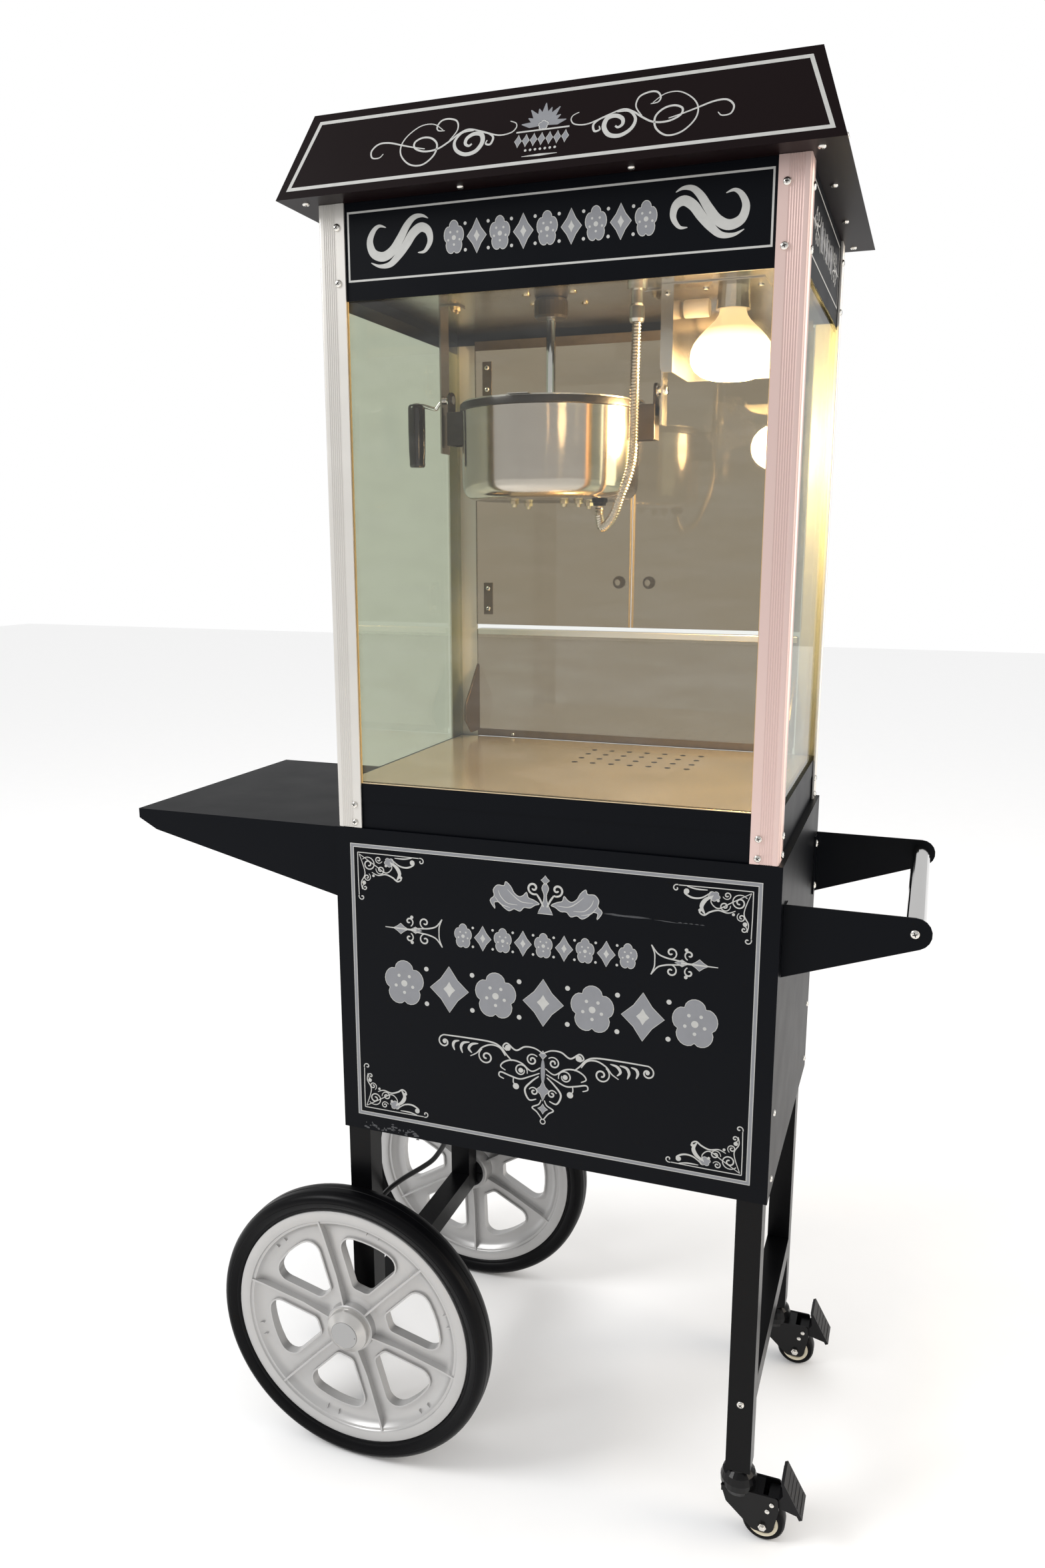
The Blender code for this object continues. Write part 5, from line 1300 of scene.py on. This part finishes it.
def make_tilt_handle():
    low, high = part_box("tilt_handle")
    grip_x = low[0] + 0.0105
    grip = lathe([(radius, low[2] + rise) for radius, rise in
                  ((0, 0), (0.0080, 0), (0.0092, 0.0010), (0.0098, 0.0040), (0.0094, 0.0060),
                   (0.0102, 0.0200), (0.0105, 0.0450), (0.0104, 0.0700), (0.0098, 0.0730),
                   (0.0080, 0.0745), (0, 0.0745))], 40)
    item = piece("tilt_grip", move(grip, at(grip_x, KETTLE_Y)), GRIP_BLACK, "kettle", smooth=40)
    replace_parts(item, "tilt_handle")
    route = [(grip_x + 0.001, KETTLE_Y, 1.3135), (grip_x + 0.010, KETTLE_Y, 1.3125),
             (grip_x + 0.020, KETTLE_Y, 1.3095), (grip_x + 0.0262, KETTLE_Y, 1.3085),
             (grip_x + 0.0300, KETTLE_Y, 1.3130), (high[0] - 0.0004, KETTLE_Y, 1.3160)]
    crank = sweep(smooth_path(route, 0.0012), lambda i: 0.0024, 14)
    add(crank, lathe([(0, 1.3085), (0.0045, 1.3085), (0.0045, 1.3152), (0.0036, 1.3160), (0, 1.3160)], 20),
        at(grip_x, KETTLE_Y))
    piece("tilt_crank", crank, CHROME, "kettle", smooth=40)


def make_hanger_details():
    """Bolts through the ceiling, and the latch knob on the right hanger."""
    bolts = bmesh.new()
    for x in (HANGER_LEFT_HIGH[0] - 0.008, HANGER_RIGHT_LOW[0] + 0.012):
        for y in (KETTLE_Y - 0.0055, KETTLE_Y + 0.0055):
            place = facing((x, y, CEILING - 0.0023), DOWN)
            add(bolts, prism(circle(0.0042, 6), 0.0, 0.0030), place)
            add(bolts, lathe([(0, 0.0028), (0.0024, 0.0028), (0.0024, 0.0058), (0, 0.0058)], 14), place)
    head = [(0, -0.0002), (0.0050, -0.0002), (0.0045, 0.0018), (0.0020, 0.0026), (0, 0.0026)]
    for x, y in ((-0.028, 0.02), (0.03, 0.035), (-0.02, -0.03), (0.035, -0.028)):
        add(bolts, lathe(head, 18), facing((KETTLE_X + x, KETTLE_Y + y, CEILING), DOWN))
    piece("ceiling_bolts", bolts, BRASS, "cart", smooth=35)
    knob = lathe([(0, 0.0), (0.0105, 0.0), (0.0120, 0.0012), (0.0120, 0.0050), (0.0108, 0.0062),
                  (0, 0.0062)], 32)
    place = facing((HANGER_RIGHT_LOW[0] - 0.0004, KETTLE_Y, 1.2970), (-1, 0, 0))
    piece("hanger_knob", move(knob, place), CHROME, "cart", smooth=35)


def make_lamp():
    """Reflector bulb, its ceramic holder and the bracket's screws."""
    low, top = BULB_LOW[2], BULB_HIGH[2]
    profile = [(radius, low + rise) for radius, rise in
               ((0, 0), (0.0120, 0.0004), (0.0240, 0.0020), (0.0340, 0.0056), (0.0410, 0.0110),
                (0.0450, 0.0180), (0.0460, 0.0250), (0.0452, 0.0320), (0.0425, 0.0390), (0.0375, 0.0460),
                (0.0310, 0.0530), (0.0245, 0.0590), (0.0195, 0.0640), (0.0160, 0.0690), (0.0145, 0.0740))]
    bulb = lathe(profile + [(0.0140, top - 0.0010), (0, top)], 64)
    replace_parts(piece("bulb", move(bulb, at(LAMP_X, LAMP_Y)), BULB_GLASS, "cart", smooth=60), "lamp_bulb")
    holder = lathe([(0, 0.0), (0.0090, 0.0), (0.0098, 0.0012), (0.0098, 0.0270), (0.0090, 0.0285),
                    (0, 0.0285)], 32)
    place = facing((BRACKET_LOW[0] + 0.0160, LAMP_Y + 0.012, 1.4060), (1, 0, 0))
    piece("lamp_holder", move(holder, place), CERAMIC, "cart", smooth=35)
    places = [((BRACKET_LOW[0] + 0.0065, BRACKET_LOW[1], CEILING - 0.010), FRONTWARD)]
    places += [((LAMP_X + x, LAMP_Y - 0.004, CEILING - 0.0016), DOWN) for x in (-0.030, 0.030)]
    screws("lamp_screws", places, radius=0.0035)


# ---- floor, doors and flap -----------------------------------------------------------------------
def make_drain_hole_shade():
    """Raised rings in the floor's drain holes, coloured dark as painted shade inside the holes."""
    top = TRAY_HIGH[2]
    section = [(0.0030, top - 0.0009), (0.0038, top - 0.0009), (0.0038, top + 0.0003),
               (0.0034, top + 0.0004), (0.0030, top - 0.0001)]
    shade_rings = bmesh.new()
    for column in range(7):
        for row in range(4):
            add(shade_rings, lathe(section, 16), at(CENTRE_X - 0.030 + column * 0.024, 0.035 + row * 0.030))
    piece("drain_hole_shade", shade_rings, RECESS_SHADE, "cart", smooth=40)


def make_door_details():
    """Hinge leaves with their screws, and a light strip on the edge where the doors meet, a painted
    highlight.
    """
    inner = DOOR_LOW[1]
    for side, sign in (("left", -1), ("right", 1)):
        low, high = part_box(f"door_{side}")
        edge, meet = (low[0], high[0]) if sign < 0 else (high[0], low[0])
        middle = edge - sign * 0.0182
        leaves, heads = bmesh.new(), []
        for z in (1.072, 1.366):
            add(leaves, box((middle - 0.0068, inner - 0.0012, z - 0.022),
                            (middle + 0.0068, inner - 0.0001, z + 0.022)))
            heads += [((middle, inner - 0.0012, z + rise), FRONTWARD) for rise in (-0.014, 0.014)]
        piece(f"hinge_leaves_{side}", leaves, BRASS_DARK, f"door_{side}", smooth=30, bevel=0.0004)
        screws(f"hinge_screws_{side}", heads, f"door_{side}", radius=0.0034, height=0.0018)
        # A light strip along the meeting edge, standing for a painted highlight.
        highlight_x = meet + sign * 0.0012
        highlight_strip = box((highlight_x - 0.0011, inner + 0.0001, low[2] + 0.0002),
                    (highlight_x + 0.0011, inner + 0.0039, high[2] - 0.0002))
        piece(f"door_edge_highlight_{side}", highlight_strip, DOOR_EDGE_HIGHLIGHT, f"door_{side}", smooth=0, bevel=0.0003)


def make_flap():
    """Clear pane with a turned lip, between two dark end cheeks."""
    left, right, top = FLAP_LOW[0], FLAP_HIGH[0], FLAP_HIGH[2]
    inner, outer = DOOR_LOW[1], DOOR_LOW[1] + 0.004
    pane = box((left, inner, FLAP_LOW[2] + 0.0005), (right, outer, top - 0.0010))
    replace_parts(piece("flap_pane", pane, ACRYLIC, "serving_flap", smooth=0), "serving_flap")
    section = rounded([(inner - 0.0016, top - 0.0080, 0), (inner - 0.0004, top - 0.0080, 0),
                       (inner - 0.0004, top - 0.0012, 0), (outer + 0.0096, top - 0.0012, 0),
                       (outer + 0.0096, top, 0), (inner - 0.0016, top, 0.0010)], 3)
    piece("flap_lip", move(prism(section, left + 0.002, right - 0.002), ALONG_X), TRIM_METAL,
          "serving_flap", smooth=30, bevel=0.0003)
    y = inner + 0.0005
    outline = rounded([(y, 0.8845, 0.001), (y - 0.030, 0.8850, 0.002), (y - 0.052, 0.9060, 0.003),
                       (y - 0.050, 0.9280, 0.004), (y, 0.9830, 0.002)], 3)
    cheeks = bmesh.new()
    for start in (left + 0.0002, right - 0.0032):
        add(cheeks, prism(outline, start, start + 0.003), ALONG_X)
    piece("flap_cheeks", cheeks, BRASS_DARK, "serving_flap", smooth=30, bevel=0.0004)


# ---- trim and wear ---------------------------------------------------------------------------------
def make_trim():
    """Seals beside the front glass, the bright line at its foot, and the rails round the rear doors."""
    front, inner = GLASS_LOW[1], DOOR_LOW[1]
    seals = bmesh.new()
    for x in (POST_LEFT_HIGH[0], POST_LOW[0]):
        add(seals, box((x - 0.0010, front - 0.0022, GLASS_LOW[2]),
                       (x + 0.0010, front - 0.0002, HEADER_LOW[2])))
    piece("pane_seals", seals, SEAL, "cart", smooth=0, bevel=0.0003)
    line = box((POST_LEFT_HIGH[0], front - 0.0020, PLINTH_HIGH[2] + 0.0001),
               (POST_LOW[0], front - 0.0004, PLINTH_HIGH[2] + 0.0016))
    piece("pane_foot", line, BRASS, "cart", smooth=0, bevel=0.0003)
    rails = bmesh.new()
    for low, high in ((DOOR_HIGH[2] - 0.0040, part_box("control_panel")[0][2] + 0.0040),
                      (TRAY_HIGH[2], FLAP_LOW[2] + 0.0030)):
        add(rails, box((DOOR_LOW[0] + 0.001, inner - 0.0022, low),
                       (FLAP_HIGH[0] - 0.001, inner - 0.0006, high)))
    piece("rear_rails", rails, BRASS_DARK, "cart", smooth=0, bevel=0.0003)
    screws("rear_rail_screws", [((x, inner - 0.0022, TRAY_HIGH[2] + 0.0034), FRONTWARD)
                                for x in (DOOR_LOW[0] + 0.055, FLAP_HIGH[0] - 0.012)],
           radius=0.0026, height=0.0014)


def make_wear():
    """Rubbed marks on the cabinet's front: a long scrape, and a scuffed patch near its lower corner."""
    rng = random.Random(7)
    panel = Panel((CENTRE_X, CABINET_LOW[1], 0.0), (1, 0, 0), (0, 0, 1))
    for _ in range(22):
        u = 68 + rng.random() ** 1.4 * 70
        v = 751.5 - (u - 68) * 0.012 + rng.uniform(-1.0, 1.0)
        length = rng.uniform(6, 26)
        panel.line([(u, v), (u + length / 2, v + rng.uniform(-0.2, 0.2)), (u + length, v)],
                   0.05, rng.uniform(0.3, 1.0), 0.05)
    for k in range(5):
        u = 152 + k * 6
        panel.line([(u, 750.5), (u + 3, 750.6), (u + 5, 750.4)], 0.1, 1.1, 0.1)
    for _ in range(46):
        u, v = -232 + rng.random() * 72, 444 + rng.gauss(0, 3.2)
        panel.shape(lobed(u, v, rng.uniform(0.5, 2.6), rng.uniform(0.4, 1.6), lobes=3), edge=0)
    piece("cabinet_wear", panel.mesh, WORN, "cart", smooth=0, extra=(WORN,))


def finish_nodes():
    """Materials and softened edges for the CAD nodes that are shown as they are."""
    legs = [f"leg_{end}_{side}" for end in ("front", "rear") for side in ("left", "right")]
    switches = [f"switch_{task}" for task in ("kettle_heat", "stir_motor", "cabinet_lamp")]
    repaint(POWDER, "cabinet_shell", "cabinet_door", "side_shelf", "handle_arm_front", "handle_arm_rear",
            "plinth", "header_front", "header_left", "header_right", "control_panel")
    repaint(ROOF_COAT, "roof_canopy")
    repaint(TUBE_COAT, *legs, "axle_beam", "leg_tie")
    repaint(CAST_BLACK, "caster_fork_front", "caster_fork_rear")
    repaint(MOULDED_BLACK, "brake_pedal_front", "brake_pedal_rear", "cord_gland", "plug", *switches)
    repaint(POST_METAL, "post_front_left", "post_rear_left", "post_rear_right")
    # The rose tint on the front-right post is a painted reflection.
    repaint(POST_WARM_REFLECTION, "post_front_right")
    repaint(CHROME, "push_bar", "drive_shaft", "axle_rod")
    repaint(SHEET_STEEL, "ceiling_panel", "hanger_left", "hanger_right", "lamp_bracket", "kettle_lid",
            "crumb_drawer", "stirrer")
    repaint(FLOOR_STEEL, "floor_tray")
    repaint(MOTOR_GREY, "gear_motor")
    repaint(PANE, "glass_front")
    repaint(SIDE_PANE, "glass_left", "glass_right")
    repaint(ACRYLIC, "door_left", "door_right")
    for width, names in ((0.0025, legs), (0.0020, ("axle_beam", "leg_tie")), (0.0015, ("plug",)),
                         (0.0010, ("cabinet_shell", "cabinet_door", "gear_motor")),
                         (0.0009, ("roof_canopy",)), (0.0007, ("side_shelf",)),
                         (0.0006, ("plinth", "handle_arm_front", "handle_arm_rear")),
                         (0.0004, ("crumb_drawer",)),
                         (0.0003, ("hanger_left", "hanger_right", "lamp_bracket", "header_front",
                                   "header_left", "header_right", "control_panel"))):
        for name in names:
            soften(NODES[name], width)


make_camera()
make_supply_cord()
make_kettle_cable()
make_studio()
finish_nodes()
make_cabinet_print()
make_roof_print()
make_header_print()
post_screws()
roof_screws()
cart_screws()
make_wheel("front", -1, 46.3)
make_wheel("rear", 1, 32.0)
make_caster("front")
make_caster("rear")
make_kettle()
make_tilt_handle()
make_hanger_details()
make_lamp()
make_drain_hole_shade()
make_door_details()
make_flap()
make_trim()
make_wear()
